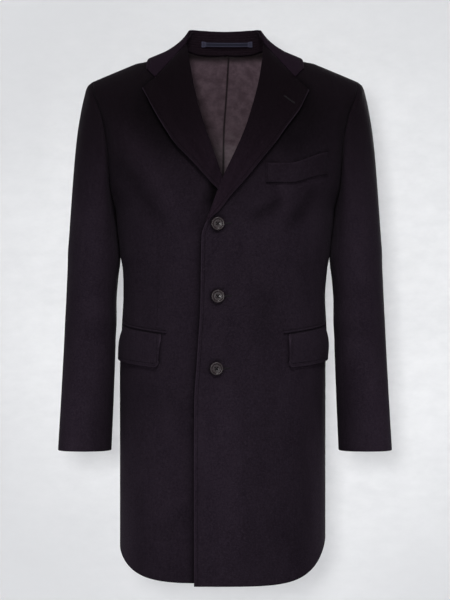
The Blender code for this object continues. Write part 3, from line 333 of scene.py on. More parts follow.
# ---- Hanger loop on the stand ----
LOOP_X = (-0.041, 0.0475)
LOOP_HEIGHTS = (0.0480, 0.0474)  # its middle at each end
LOOP_WIDTH = 0.0085
LOOP_THICK = 0.0012
LOOP_SAG = 0.0035
STAND_ROWS = 0.0042  # between the sewn rows that stiffen the collar's stand

# ---- Back lining, as far down as the open neck shows it ----
LINING_LOW = -0.340
LINING_COLUMNS = 12  # of the back's columns, from the middle seam

# ---- Grid counts, in whole multiples of the solids' ----
LOW_ROWS = 104
ARM_ROWS = 63
FRONT_COLUMNS = 77
NECK_COLUMNS = 28
CUFF_ROWS = 72
CAP_ROWS = 40
CAP_CROWDING = 1.3  # above 1 the rows lie closer together at the shoulder's tip


def column(table, name):
    """A named column of a table, as a smooth curve over the table's first column."""
    rows = sorted(table[1:], key=lambda row: row[0])
    keys = np.array([row[0] for row in rows])
    values = np.array([row[table[0].index(name)] for row in rows], float)
    slopes = np.diff(values) / np.diff(keys)
    tangents = np.zeros(len(keys))
    tangents[0], tangents[-1] = slopes[0], slopes[-1]
    same_way = slopes[:-1] * slopes[1:] > 0
    both = slopes[:-1] + slopes[1:]
    tangents[1:-1][same_way] = 2 * (slopes[:-1] * slopes[1:])[same_way] / both[same_way]

    def at(key):
        key = np.clip(key, keys[0], keys[-1])
        i = np.clip(np.searchsorted(keys, key, side="right") - 1, 0, len(keys) - 2)
        step = keys[i + 1] - keys[i]
        t = (key - keys[i]) / step
        return (
            (1 + 2 * t) * (1 - t) ** 2 * values[i]
            + t * (1 - t) ** 2 * step * tangents[i]
            + t**2 * (3 - 2 * t) * values[i + 1]
            + t**2 * (t - 1) * step * tangents[i + 1]
        )

    return at


def ease(value, start=0.0, end=1.0):
    """Goes smoothly from 0 at start to 1 at end."""
    t = np.clip((np.asarray(value, float) - start) / (end - start), 0, 1)
    return t * t * (3 - 2 * t)


def mix(a, b, share):
    return a + (b - a) * share


def unit(vectors):
    return vectors / np.maximum(np.linalg.norm(vectors, axis=-1, keepdims=True), 1e-12)


HALF_WIDTH, SHIFT = column(BODY, "half_width"), column(BODY, "shift")
DEPTH = {FRONT: column(BODY, "front"), BACK: column(BODY, "back")}
FRONT_EDGE = {LEFT: column(LEFT_EDGE, "x"), RIGHT: column(RIGHT_EDGE, "x")}
INSET = column(UNDERLAP, "inset")


# ---- The body's surface ----


def ridge_height(x):
    """Height of the shoulder seam's line."""
    out = np.abs(x)
    under_collar = ease(out, *COLLAR_DIP_INNER) * ease(out, *COLLAR_DIP_OUTER)
    return RIDGE_TOP - SHOULDER_SLOPE * np.hypot(x, RIDGE_ROUND) - COLLAR_DIP * under_collar


def shoulder_fall(x, z, face):
    """Share of the full depth that the cloth has reached, at a drop below the shoulder seam."""
    outer = ease(np.abs(x), NECK_X, TIP_X)
    reach = mix(FALL_AT_NECK[face], FALL_AT_TIP, outer)
    left = 1 - np.clip((ridge_height(x) - z) / reach, 0, 1)
    return (1 - left ** mix(1.7, 2.0, outer)) ** mix(0.8, 0.5, outer)


def along_folds(x, z, table, value, spread=1.0):
    """Sum of one column of a table of folds, each fading out to its sides and its ends.

    spread widens them all.
    """
    total = np.zeros(np.broadcast(x, z).shape)
    names = table[0]
    for row in table[1:]:
        fold = dict(zip(names, row))
        run = np.array([fold["x1"] - fold["x0"], fold["z1"] - fold["z0"]])
        length = np.hypot(*run)
        along = ((x - fold["x0"]) * run[0] + (z - fold["z0"]) * run[1]) / length**2
        across = ((x - fold["x0"]) * run[1] - (z - fold["z0"]) * run[0]) / length
        fade = ease(along, -0.25, 0.25) * ease(along, 1.25, 0.75)
        total = total + fold[value] * fade * np.exp(-((across / (spread * fold["half_width"])) ** 2))
    return total


def face_folds(face):
    """The folds of the front or of the back."""
    return FOLDS[:1] + tuple(row for row in FOLDS[1:] if row[1] == face)


def folds(x, z, face):
    """Outward movement of the cloth from the table of soft folds."""
    return along_folds(x, z, face_folds(face), "out")


def turn_of(x, z):
    """Angle round the level section, in degrees: 0 at the middle, +-90 at the side seams."""
    across = np.clip((x - SHIFT(z)) / HALF_WIDTH(z), -1, 1)
    return np.degrees(np.sign(across) * np.arcsin(np.abs(across) ** (SQUARENESS / 2)))


def body_point(turn, z, face):
    """A point of the outer surface at an angle round the section and a height."""
    turn, z = np.broadcast_arrays(np.radians(turn), np.asarray(z, float))
    sine, cosine = np.sin(turn), np.cos(turn)
    across = np.sign(sine) * np.abs(sine) ** (2 / SQUARENESS)
    x = SHIFT(z) + HALF_WIDTH(z) * across
    square = np.sign(cosine) * np.abs(cosine) ** (2 / SQUARENESS)
    depth = (DEPTH[face](z) + folds(x, z, face)) * square
    middle = RIDGE_Y * ease(z, ARMHOLE_LOW - 0.06, ARMHOLE_LOW + 0.06)
    y = middle + (face * depth - middle) * shoulder_fall(x, z, face)
    return np.stack([x, y, z], axis=-1)


def body_normal(turn, z, face):
    """Outward direction of the surface at a point given as for body_point."""
    across = body_point(turn + 0.6, z, face) - body_point(turn - 0.6, z, face)
    up = body_point(turn, z + 0.002, face) - body_point(turn, z - 0.002, face)
    return unit(np.cross(across, up) * (1 if face == FRONT else -1))


def lay_on(x, z, face, lift):
    """Points that lie on the surface, seen at x and z, moved out by lift."""
    turn = turn_of(x, z)
    return body_point(turn, z, face) + body_normal(turn, z, face) * np.asarray(lift)[..., None]


def out_from(turn, z, lift):
    """Points at an angle round the front and a height, moved out by lift."""
    return body_point(turn, z, FRONT) + body_normal(turn, z, FRONT) * lift[..., None]


def drape(x, y, lift):
    """Points on the surface seen from above at x and y, moved out by lift.

    Close to the shoulder seam the direction turns over gradually from one face to the other.
    """
    x, y, lift = np.broadcast_arrays(np.asarray(x, float), y, lift)
    face = np.where(y > RIDGE_Y, BACK, FRONT)
    high, low = ridge_height(x), ridge_height(x) - DRAPE_DROP
    for _ in range(30):
        z = (high + low) / 2
        reached = np.where(
            face == BACK,
            body_point(turn_of(x, z), z, BACK)[..., 1] > y,
            body_point(turn_of(x, z), z, FRONT)[..., 1] < y,
        )
        high, low = np.where(reached, high, z), np.where(reached, z, low)
    near_seam = np.minimum(z, ridge_height(x) - 0.002)
    ways = {side: body_normal(turn_of(x, near_seam), near_seam, side) for side in (FRONT, BACK)}
    over = ease(y, RIDGE_Y - SEAM_ROUND, RIDGE_Y + SEAM_ROUND)[..., None]
    turn = turn_of(x, z)
    on_it = np.where(
        (face == BACK)[..., None], body_point(turn, z, BACK), body_point(turn, z, FRONT)
    )
    return on_it + unit(mix(ways[FRONT], ways[BACK], over)) * lift[..., None]


def armhole_line(side, face):
    """The armhole's points from the armpit, where it starts, up to the shoulder's tip."""
    share = np.linspace(0, 1, ARM_ROWS + 1)
    tip = np.array([side * TIP_X, RIDGE_Y, ridge_height(TIP_X)])
    low = np.array([side * HALF_WIDTH(ARMHOLE_LOW), 0, ARMHOLE_LOW])
    z = mix(ARMHOLE_LOW, tip[2], (1 - np.cos(np.pi * share)) / 2)
    reach = ARMHOLE_DEPTH[face] * np.clip(np.sin(np.pi * share), 0, 1) ** ARMHOLE_POINT
    reach = reach + face * RIDGE_Y * ease(share, TIP_TURN, 1)
    near, far = np.full(ARM_ROWS + 1, 90.0), np.full(ARM_ROWS + 1, 20.0)
    for _ in range(40):
        turn = (near + far) / 2
        short = face * body_point(turn * side, z, face)[..., 1] < reach
        near, far = np.where(short, turn, near), np.where(short, far, turn)
    line = body_point(turn * side, z, face)
    line[0], line[-1] = low, tip
    return line


# ---- Grids of points, one for each piece: rows run upward, columns away from the middle ----


def row_heights():
    """Heights of the body's rows from the hem up to the armpit, closer together near it."""
    share = np.linspace(1, 0, LOW_ROWS + 1) ** 1.1
    return mix(ARMHOLE_LOW, HEM_BACK, share)


def hem_height(side, face, turn):
    middle = HEM_FRONT[side] if face == FRONT else HEM_BACK
    round_side = 1 - np.clip(np.cos(np.radians(turn)), 0, 1) ** (2 / SQUARENESS)
    return mix(middle, HEM_SIDE[side], ease(round_side, *HEM_ROUND))


def panel_heights(side, face, z, turn):
    """A row's heights: level near the waist and bent to the hem's line lower down."""
    bent = ease(-z, -HEM_BACK - HEM_SPREAD, -HEM_BACK)
    return z + (hem_height(side, face, turn) - HEM_BACK) * bent


def underlap_inset(x, z):
    """How far the right front lies in from the body's surface."""
    edge = FRONT_EDGE[LEFT](z)
    full = edge - UNDERLAP_REACH
    return INSET(z) * ease(x, full - UNDERLAP_RAMP, full)


def front_point(side, x, z, lift=0.0):
    """A point on the outside of a front, moved out by lift."""
    inset = underlap_inset(x, z) if side == RIGHT else 0.0
    return lay_on(x, z, FRONT, lift - inset)


def neck_top(x):
    """Height of the back's top edge: the neckline, then the shoulder seam."""
    out = np.clip(np.abs(x) / NECK_X, 0, 1)
    neckline = mix(NAPE_HEIGHT, ridge_height(NECK_X), out**4) - NECKLINE_DIP * np.sin(np.pi * out)
    return np.where(np.abs(x) < NECK_X, neckline, ridge_height(x))


def climb(up):
    """Height of a row above the armpit: rows lie closer together at both ends."""
    return (1 - math.cos(math.pi * up)) / 2


def front_panel(side):
    share = np.linspace(0, 1, FRONT_COLUMNS + 1)
    low_share = share**1.2
    rows = []
    for z in row_heights():
        turn = mix(turn_of(FRONT_EDGE[side](z), z), 90 * side, low_share)
        heights = panel_heights(side, FRONT, z, turn)
        turn = mix(turn_of(FRONT_EDGE[side](heights), heights), 90 * side, low_share)
        rows.append(body_point(turn, heights, FRONT))
    spread = (rows[-1][:, 0] - rows[-1][0, 0]) / (rows[-1][-1, 0] - rows[-1][0, 0])
    top_x = mix(NECK_X, TIP_X, share)
    flat_top = mix(ridge_height(NECK_X), ridge_height(TIP_X), share)
    armhole = armhole_line(side, FRONT)
    for step in range(1, ARM_ROWS + 1):
        up, outer = step / ARM_ROWS, armhole[step]
        inner_z = mix(ARMHOLE_LOW, ridge_height(NECK_X), climb(up))
        inner_x = mix(FRONT_EDGE[side](inner_z), side * NECK_X, ease(up, 0.9, 1))
        across = mix(spread, share, ease(up, 0, 0.8))
        x, z = mix(inner_x, outer[0], across), mix(inner_z, outer[2], across)
        z = z + (ridge_height(top_x) - flat_top) * up**6
        row = body_point(turn_of(x, z), z, FRONT)
        row[-1] = outer
        rows.append(row)
    grid = np.array(rows)
    grid[-1, :, 1] = RIDGE_Y
    grid[-1, :, 2] = ridge_height(grid[-1, :, 0])
    if side == RIGHT:
        inset = underlap_inset(grid[..., 0], grid[..., 2])
        grid[..., 1] += inset * ease(grid[..., 0], 0.06, 0.03)
    return grid


def back_panel(side):
    columns = NECK_COLUMNS + FRONT_COLUMNS
    share = np.linspace(0, 1, columns + 1)
    neck = np.linspace(0, NECK_X, NECK_COLUMNS + 1)[:-1]
    top_x = side * np.concatenate([neck, np.linspace(NECK_X, TIP_X, FRONT_COLUMNS + 1)])
    rows = []
    for z in row_heights():
        turn = 90 * side * share
        heights = panel_heights(side, BACK, z, turn)
        rows.append(body_point(turn, heights, BACK))
    spread = (rows[-1][:, 0] - rows[-1][0, 0]) / (rows[-1][-1, 0] - rows[-1][0, 0])
    armhole = armhole_line(side, BACK)
    for step in range(1, ARM_ROWS + 1):
        up, outer = step / ARM_ROWS, armhole[step]
        inner_z = mix(ARMHOLE_LOW, NAPE_HEIGHT, climb(up))
        across = mix(spread, top_x / (side * TIP_X), ease(up, 0, 0.8))
        x = outer[0] * across
        flat_top = mix(NAPE_HEIGHT, ridge_height(TIP_X), top_x / (side * TIP_X))
        z = mix(inner_z, outer[2], across) + (neck_top(top_x) - flat_top) * up**3
        row = body_point(turn_of(x, z), z, BACK)
        row[-1] = outer
        rows.append(row)
    grid = np.array(rows)
    grid[-1, NECK_COLUMNS:, 1] = RIDGE_Y
    grid[-1, NECK_COLUMNS:, 2] = ridge_height(grid[-1, NECK_COLUMNS:, 0])
    return grid


def sleeve_ring(side, height, angles):
    """A level section of the sleeve; angle 0 faces the body, 90 the front, 180 outward."""
    centre_x, centre_y, half_width, half_depth = (
        float(column(SLEEVE, name)(height)) for name in SLEEVE[0][1:]
    )
    sine, cosine = np.sin(np.radians(angles)), np.cos(np.radians(angles))
    power = 2 / SLEEVE_SQUARENESS
    swell = np.zeros(len(angles))
    for fold_z, turn, out, half_height in ELBOW_FOLDS[1:]:
        near = np.cos(np.radians((angles - turn) / 2)) ** 4
        swell += out * near * np.exp(-(((height - fold_z) / half_height) ** 2))
    x = centre_x - (half_width + swell * 0.4) * np.sign(cosine) * np.abs(cosine) ** power
    y = centre_y - (half_depth + swell) * np.sign(sine) * np.abs(sine) ** power
    return np.stack([side * x, y, np.full(len(angles), float(height))], axis=-1)


def sleeve_tube(side):
    """The whole sleeve from the armhole down to the cuff, as rings of 2 * ARM_ROWS points."""
    count = 2 * ARM_ROWS
    angles = np.arange(count) * 360 / count
    head = np.concatenate([armhole_line(side, FRONT), armhole_line(side, BACK)[-2:0:-1]])
    start = sleeve_ring(side, SLEEVE[1][0], angles)
    outward = ((1 - np.cos(np.radians(angles))) / 2)[:, None]
    roll = np.array([side * CAP_ROLL[0], 0, -CAP_ROLL[1]]) * outward**2
    drop = (head + roll - start) * np.array([0, 0, 1.0])
    leave = np.array([side * CAP_FLARE, 0, 0]) * outward - drop * mix(0.33, 0.267, outward)
    arrive = np.array([-side * CAP_RETURN, 0, 0]) * outward + drop * mix(0.30, 0.724, outward)
    rings = []
    for share in np.linspace(0, 1, CAP_ROWS + 1):
        t = mix(share, share**CAP_CROWDING, outward)
        top = head + roll * np.sin(np.pi / 2 * np.clip(t / CAP_ROLLED, 0, 1))
        rings.append(
            (1 - t) ** 3 * top
            + 3 * t * (1 - t) ** 2 * (top + leave)
            + 3 * t**2 * (1 - t) * (start + arrive)
            + t**3 * start
        )
    for height in np.linspace(SLEEVE[1][0], CUFF_HEIGHT, CUFF_ROWS + 1)[1:]:
        rings.append(sleeve_ring(side, height, angles))
    return np.array(rings)


# ---- From grids to cloth ----
RIM_STEPS = 4
SEAM_BULGE = 0.0004  # rounding of an edge that is sewn to its neighbour
NARROW_BULGE = 0.0008  # of an end, or of an edge that lies against something
FOLD_BULGE = 0.0012  # of a pocket's folded edge
CREASE_BULGE = 0.0013  # of a free, folded edge
SEAM_PRESS = 0.0002  # by which two sewn edges are pressed into each other
FAR = 0.05  # a distance from an edge or a seam at which neither leaves a mark


def grid_normals(grid, closed=False):
    """Outward normals of a grid whose columns run left to right as rows run up, seen outside."""
    if closed:
        wrapped = np.concatenate([grid[:, -1:], grid, grid[:, :1]], axis=1)
        across = (wrapped[:, 2:] - wrapped[:, :-2]) / 2
    else:
        across = np.gradient(grid, axis=1)
    return unit(np.cross(across, np.gradient(grid, axis=0)))


def outline(rows, columns):
    """Row and column of each point of a grid's outline, anticlockwise as seen from outside."""
    bottom = [(0, c) for c in range(columns)]
    right = [(r, columns - 1) for r in range(1, rows)]
    top = [(rows - 1, c) for c in range(columns - 2, -1, -1)]
    left = [(r, 0) for r in range(rows - 2, 0, -1)]
    return np.array(bottom + right + top + left)


def rim_directions(grid, bulges):
    """Outward in the cloth's plane at each outline point, times that side's rounding."""
    push = np.zeros_like(grid)
    push[:, 0] += unit(grid[:, 0] - grid[:, 1]) * bulges["left"]
    push[:, -1] += unit(grid[:, -1] - grid[:, -2]) * bulges["right"]
    push[0] += unit(grid[0] - grid[1]) * bulges["bottom"]
    push[-1] += unit(grid[-1] - grid[-2]) * bulges["top"]
    return push


def link(name, mesh):
    piece = bpy.data.objects.new(name, mesh)
    bpy.context.scene.collection.objects.link(piece)
    return piece


def shell(name, grid, thickness, bulges, layers, inward=None, gap=-SEAM_PRESS, inside=None):
    """A cloth wall with rounded edges. layers holds named float values for each grid point.

    gap is from an edge to its seam's line: below 0 the edges are pressed together there.
    inside names, for each cell of the inner face, the material slot it takes.
    """
    sides = dict.fromkeys(("left", "right", "bottom", "top"), SEAM_BULGE) | bulges
    if inward is None:
        inward = -grid_normals(grid)
    rows, columns = grid.shape[:2]
    size, cells = rows * columns, (rows - 1) * (columns - 1)
    push = rim_directions(grid, sides)
    pull = rim_directions(grid, {side: value + gap for side, value in sides.items()})
    outer = (grid - pull).reshape(-1, 3)
    inner = (grid + inward * thickness - pull).reshape(-1, 3)
    loop = outline(rows, columns)
    flat, ring = loop[:, 0] * columns + loop[:, 1], len(loop)
    bands = []
    for angle in math.pi * np.arange(1, RIM_STEPS + 1) / (RIM_STEPS + 1):
        between = mix(outer[flat], inner[flat], (1 - math.cos(angle)) / 2)
        bands.append(between + push.reshape(-1, 3)[flat] * math.sin(angle))
    points = np.concatenate([outer, inner, *bands])
    index = np.arange(size).reshape(rows, columns)
    corners = index[:-1, :-1], index[:-1, 1:], index[1:, 1:], index[1:, :-1]
    outside = np.stack([corner.reshape(-1) for corner in corners], axis=1)
    chain = [flat, *(2 * size + b * ring + np.arange(ring) for b in range(RIM_STEPS)), flat + size]
    rims = [
        np.stack([np.roll(near, -1), near, far, np.roll(far, -1)], axis=1)
        for near, far in zip(chain, chain[1:])
    ]
    faces = np.concatenate([outside, outside[:, ::-1] + size, *rims])
    mesh = bpy.data.meshes.new(name)
    mesh.vertices.add(len(points))
    mesh.vertices.foreach_set("co", points.reshape(-1))
    mesh.loops.add(4 * len(faces))
    mesh.loops.foreach_set("vertex_index", faces.reshape(-1))
    mesh.polygons.add(len(faces))
    mesh.polygons.foreach_set("loop_start", np.arange(len(faces)) * 4)
    mesh.polygons.foreach_set("loop_total", np.full(len(faces), 4))
    if inside is not None:
        slots = np.zeros(len(faces), int)
        slots[cells : 2 * cells] = inside.reshape(-1)
        mesh.polygons.foreach_set("material_index", slots)
    mesh.update(calc_edges=True)
    mesh.shade_smooth()
    for key, values in layers.items():
        values = np.broadcast_to(values, (rows, columns)).reshape(-1)
        values = np.concatenate([values, values, *[values[flat]] * RIM_STEPS])
        layer = mesh.attributes.new(key, "FLOAT", "POINT")
        layer.data.foreach_set("value", values.astype(np.float32))
    return link(name, mesh)


def oriented(grid, side):
    """Columns that run away from the middle, turned to run left to right as seen from outside."""
    return grid if side == LEFT else grid[:, ::-1]


def run_along(grid, axis):
    """Distance along the cloth from the first row or column."""
    steps = np.linalg.norm(np.diff(grid, axis=axis), axis=-1)
    zero = np.zeros_like(steps[:1]) if axis == 0 else np.zeros_like(steps[:, :1])
    return np.concatenate([zero, np.cumsum(steps, axis=axis)], axis=axis)


# ---- Materials ----


class Look:
    """A material under work: its Principled shader, and short calls for the nodes used here."""

    def __init__(self, name):
        self.material = bpy.data.materials.new(name)
        self.material.use_nodes = True
        self.tree = self.material.node_tree
        self.shader = self.tree.nodes["Principled BSDF"]
        self.where = self.node("ShaderNodeTexCoord").outputs["Object"]
        self.x, self.y, self.z = self.node("ShaderNodeSeparateXYZ", {0: self.where}).outputs

    def node(self, kind, inputs=None, **settings):
        made = self.tree.nodes.new(kind)
        for key, value in settings.items():
            setattr(made, key, value)
        for key, value in (inputs or {}).items():
            if isinstance(value, bpy.types.NodeSocket):
                self.tree.links.new(value, made.inputs[key])
            else:
                made.inputs[key].default_value = value
        return made

    def maths(self, operation, a, b=0.0, c=0.0):
        return self.node("ShaderNodeMath", {0: a, 1: b, 2: c}, operation=operation).outputs[0]

    def times(self, a, b, plus=0.0):
        return self.maths("MULTIPLY_ADD", a, b, plus)

    def noise(self, scale, detail=2.0, roughness=0.5, stretch=(1, 1, 1)):
        place = self.node("ShaderNodeMapping", {"Vector": self.where, "Scale": stretch}).outputs[0]
        inputs = {"Vector": place, "Scale": scale, "Detail": detail, "Roughness": roughness}
        return self.node("ShaderNodeTexNoise", inputs).outputs["Fac"]

    def blend(self, factor, first, second):
        inputs = {0: factor, 6: first, 7: second}  # of a colour mix
        return self.node("ShaderNodeMix", inputs, data_type="RGBA").outputs[2]

    def attribute(self, name):
        return self.node("ShaderNodeAttribute", attribute_name=name).outputs["Fac"]

    def ramp(self, value, low, high, start=0.0, end=1.0, kind="SMOOTHSTEP"):
        """start below low, end above high, and smooth between them."""
        inputs = {"Value": value, "From Min": low, "From Max": high, "To Min": start, "To Max": end}
        return self.node("ShaderNodeMapRange", inputs, interpolation_type=kind).outputs[0]

    def groove(self, distance, centre, half_width):
        """1 on the line at that distance, falling smoothly to 0 beyond half_width."""
        away = self.maths("ABSOLUTE", self.maths("SUBTRACT", distance, centre))
        return self.ramp(away, 0.0, half_width, 1.0, 0.0)

    def surface(self, colour, roughness, specular):
        inputs = self.shader.inputs
        self.tree.links.new(colour, inputs["Base Color"])
        inputs["Roughness"].default_value = roughness
        inputs["Specular IOR Level"].default_value = specular

    def relief(self, height, strength, distance):
        inputs = {"Strength": strength, "Distance": distance, "Height": height}
        bump = self.node("ShaderNodeBump", inputs).outputs["Normal"]
        self.tree.links.new(bump, self.shader.inputs["Normal"])


WOOL_DARK, WOOL_LIGHT = (0.0070, 0.0046, 0.0076), (0.0134, 0.0094, 0.0142)
WOOL_FIBRE = (0.030, 0.023, 0.032)
SEWN_COLOUR, EDGE_HIGHLIGHT = (0.0008, 0.0006, 0.0009, 1), 2.2  # in a stitched line; strength of the painted highlight on a rounded free edge
LAPEL_SHADE_TINT, COLLAR_LIGHT_TINT = (0.98, 0.84, 0.90), (2.40, 1.87, 2.40)  # painted shade on the lapels and painted light on the collar: darker and lighter copies of the one wool, where its nap runs the other way
# painted light on the collar's stand: a lighter copy of the wool
STAND_LIGHT_TINT = (2.5, 2.2, 2.2)
UPPER_SHADE = 0.76  # painted shade: how far the coat's upper part is painted darker toward the top
UPPER_SHADE_COLOUR, UPPER_SHADE_HEIGHTS = (0.0014, 0.0005, 0.0007, 1), (-0.32, -0.01)
STITCH_FROM_EDGE, STITCH_LENGTH = 0.0060, 0.0042
TWILL_PITCH = 0.0011
SHEEN_TINT = (0.70, 0.58, 0.72, 1)


def wool_material(name, tint=(1.0, 1.0, 1.0), rows=False):
    """Brushed wool: a fine twill under a short nap, with the sewn edges' pick stitching.

    tint scales its colour, for the darker and lighter copies that paint shade and light, and rows adds
    the sewn rows that stiffen a collar's stand.
    """
    look = Look(name)
    dark, light, fibre_colour = (
        (*(value * part for value, part in zip(colour, tint)), 1)
        for colour in (WOOL_DARK, WOOL_LIGHT, WOOL_FIBRE)
    )
    broad = look.noise(22.0, 3.0, 0.6, (1.2, 1, 0.6))
    cloudy = look.noise(330.0, 4.0, 0.74, (1.0, 1, 0.8))
    fibre = look.noise(900.0, 2.0, 0.7, (1.0, 1.0, 0.30))
    speck = look.noise(420.0, 3.0, 0.75, (0.6, 0.6, 1.3))
    mottle = look.times(broad, 0.25, look.times(cloudy, 0.75))
    base = look.blend(look.ramp(mottle, 0.32, 0.68), dark, light)
    base = look.blend(look.ramp(speck, 0.50, 0.80, 0.0, 0.45), base, fibre_colour)
    # painted shade, darker toward the coat's top
    base = look.blend(look.ramp(look.z, *UPPER_SHADE_HEIGHTS, 0.0, UPPER_SHADE), base, UPPER_SHADE_COLOUR)
    # painted light and shade: the colour is scaled by each point's tone
    light_and_shade_scale = look.maths("ADD", look.attribute("tone"), 1.0)
    base = look.node("ShaderNodeVectorMath", {0: base, "Scale": light_and_shade_scale}, operation="SCALE").outputs[0]
    edge, half_stitch = look.attribute("edge"), STITCH_LENGTH / 2
    seam = look.groove(look.attribute("seam"), 0.0, 0.0020)
    dash = look.maths("PINGPONG", look.attribute("run"), half_stitch)
    dash = look.times(look.maths("DIVIDE", dash, half_stitch), 0.6, 0.55)
    sunk = look.times(look.groove(edge, STITCH_FROM_EDGE, 0.0012), dash)
    base = look.blend(look.times(sunk, 0.40, look.times(seam, 0.60)), base, SEWN_COLOUR)
    # painted highlight along the rounded free edges
    edge_highlight_colour = (*(EDGE_HIGHLIGHT * value for value in WOOL_LIGHT), 1)
    base = look.blend(look.ramp(edge, 0.0, 0.0020, 0.30, 0.0), base, edge_highlight_colour)
    look.surface(base, 0.92, 0.03)
    look.shader.inputs["Sheen Weight"].default_value = 0.014
    look.shader.inputs["Sheen Roughness"].default_value = 0.5
    look.shader.inputs["Sheen Tint"].default_value = SHEEN_TINT
    # relief: twill, nap, sewn lines
    diagonal = look.maths("ADD", look.z, look.maths("ADD", look.x, look.y))
    twill = look.maths("SINE", look.times(diagonal, 2 * math.pi / TWILL_PITCH))
    height = look.times(twill, 0.05, fibre)
    for mark, depth in ((speck, 0.9), (sunk, -2.6), (seam, -3.2)):
        height = look.times(mark, depth, height)
    if rows:
        across = look.maths("PINGPONG", look.z, STAND_ROWS / 2)
        height = look.times(look.groove(across, 0.0, 0.0007), -3.0, height)
    look.relief(height, 0.6, 0.0005)
    return look.material


SATIN_DARK, SATIN_LIGHT = (0.102, 0.067, 0.082, 1), (0.158, 0.108, 0.130, 1)
SATIN_SHADED, SATIN_SHADE_HEIGHTS = (0.006, 0.004, 0.004, 1), (0.012, 0.027)  # below the stand
SATIN_SEAM_COLOUR = (0.005, 0.003, 0.003, 1)


def lining_material():
    """Grey-purple satin, soft and slightly creased."""
    look = Look("satin_lining")
    cloud = look.noise(60.0, 4.0, 0.65)
    colour = look.blend(look.ramp(cloud, 0.35, 0.65), SATIN_DARK, SATIN_LIGHT)
    under_stand = look.ramp(look.z, *SATIN_SHADE_HEIGHTS, 0.0, 0.93)
    colour = look.blend(under_stand, colour, SATIN_SHADED)
    seam = look.groove(look.attribute("seam"), 0.0, 0.0028)
    look.surface(look.blend(look.times(seam, 0.85), colour, SATIN_SEAM_COLOUR), 0.50, 0.22)
    threads = look.noise(2600.0, 1.0, 0.5, (1, 1, 0.12))
    creases = look.noise(75.0, 3.0, 0.55, (1, 1, 0.7))
    look.relief(look.times(threads, 0.10, creases), 0.55, 0.0014)
    return look.material


RIBBON_DARK, RIBBON_LIGHT = (0.0040, 0.0040, 0.0085, 1), (0.0090, 0.0090, 0.019, 1)
RIBBON_STITCH = (0.040, 0.038, 0.062, 1)
TACKS_FROM_END = (0.0022, 0.0064)  # two rows of stitches across each end


def ribbon_material():
    """Navy woven ribbon, stitched along its edges and across its ends."""
    look = Look("loop_ribbon")
    fine = look.noise(1500.0, 2.0, 0.6, (1, 1, 0.4))
    end, edge = look.attribute("end"), look.attribute("edge")
    tacks = look.maths("MAXIMUM", *(look.groove(end, place, 0.0010) for place in TACKS_FROM_END))
    stitches = look.maths("MAXIMUM", tacks, look.groove(edge, 0.0011, 0.0007))
    colour = look.blend(fine, RIBBON_DARK, RIBBON_LIGHT)
    colour = look.blend(look.times(stitches, 0.7), colour, RIBBON_STITCH)
    colour = look.blend(look.ramp(end, 0.011, 0.007, 0.0, 0.3), colour, RIBBON_STITCH)
    look.surface(colour, 0.7, 0.1)
    look.relief(look.times(stitches, 1.5, fine), 0.5, 0.0003)
    return look.material


HORN_DARK, HORN_LIGHT = (0.0085, 0.0062, 0.0068, 1), (0.0330, 0.0240, 0.0262, 1)
HORN_CLOUD = (0.0175, 0.0128, 0.0142, 1)


def horn_material():
    """Dark brown-grey horn with a fine streaky grain and a soft polish."""
    look = Look("horn")
    streaks = look.noise(330.0, 4.0, 0.65, (1.0, 1.0, 0.25))
    cloud = look.noise(180.0, 2.0, 0.5)
    look.surface(look.blend(cloud, look.blend(streaks, HORN_DARK, HORN_LIGHT), HORN_CLOUD), 0.26, 0.20)
    look.relief(streaks, 0.15, 0.0002)
    return look.material


THREAD_TWIST = 0.00045
THREAD_COLOURS = (0.0012, 0.0008, 0.0012, 1), (0.0050, 0.0036, 0.0050, 1)
EDGING_COLOURS = (0.0031, 0.0022, 0.0032, 1), (0.0086, 0.0065, 0.0090, 1)


def thread_material(name, dark, light):
    """Twisted sewing thread."""
    look = Look(name)
    lay = look.times(look.z, 0.6, look.x)
    twist = look.maths("SINE", look.times(lay, 2 * math.pi / THREAD_TWIST))
    look.surface(look.blend(look.ramp(twist, -1.0, 1.0), dark, light), 0.7, 0.15)
    look.relief(twist, 0.4, 0.0001)
    return look.material


# ---- Pieces ----
HEM_FACING, FRONT_FACING = 0.035, 0.085  # depths to which the wool is turned in: hem and front edge
WOOL_INSIDE, SATIN_INSIDE = 0, 1  # material slots of a panel's inner face
TO_BACK = np.array([0, 1.0, 0])


def finish_piece(piece, nodes, slot, *materials):
    for material in materials:
        piece.data.materials.append(material)
    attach(piece, "root")
    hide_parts(*nodes)


def cloth(name, grid, thickness, rims, materials, side=LEFT, slot="wool", layers=None, **settings):
    """The piece of cloth that replaces the solid of that name; gives its grid as seen from outside.

    The grid's columns, and what goes with them, run left to right on the LEFT side and are turned
    round on the RIGHT.
    """
    values = {"edge": FAR, "run": 0.0, "seam": FAR, "tone": 0.0} | (layers or {})
    values = {key: np.broadcast_to(value, grid.shape[:2]) for key, value in values.items()}
    values = {key: oriented(value, side) for key, value in values.items()}
    if side == RIGHT:
        swapped = {"left": "right", "right": "left"}
        rims = {swapped.get(edge, edge): bulge for edge, bulge in rims.items()}
        if "inside" in settings:
            settings["inside"] = settings["inside"][:, ::-1]
    grid = oriented(grid, side)
    piece = shell(name + "_cloth", grid, thickness, rims, values, **settings)
    finish_piece(piece, [name], slot, *materials)
    return grid


def edge_layers(grid, free):
    """Distance to the nearest free edge, and how far along it each point lies."""
    up, across = run_along(grid, 0), run_along(grid, 1)
    options = {
        "left": (across, up),
        "right": (across[:, -1:] - across, up),
        "bottom": (up, across),
    }
    edge, run = np.full(grid.shape[:2], FAR), np.zeros(grid.shape[:2])
    for side in free:
        distance, along = options[side]
        nearer = distance < edge
        edge, run = np.where(nearer, distance, edge), np.where(nearer, along, run)
    return {"edge": edge, "run": run}


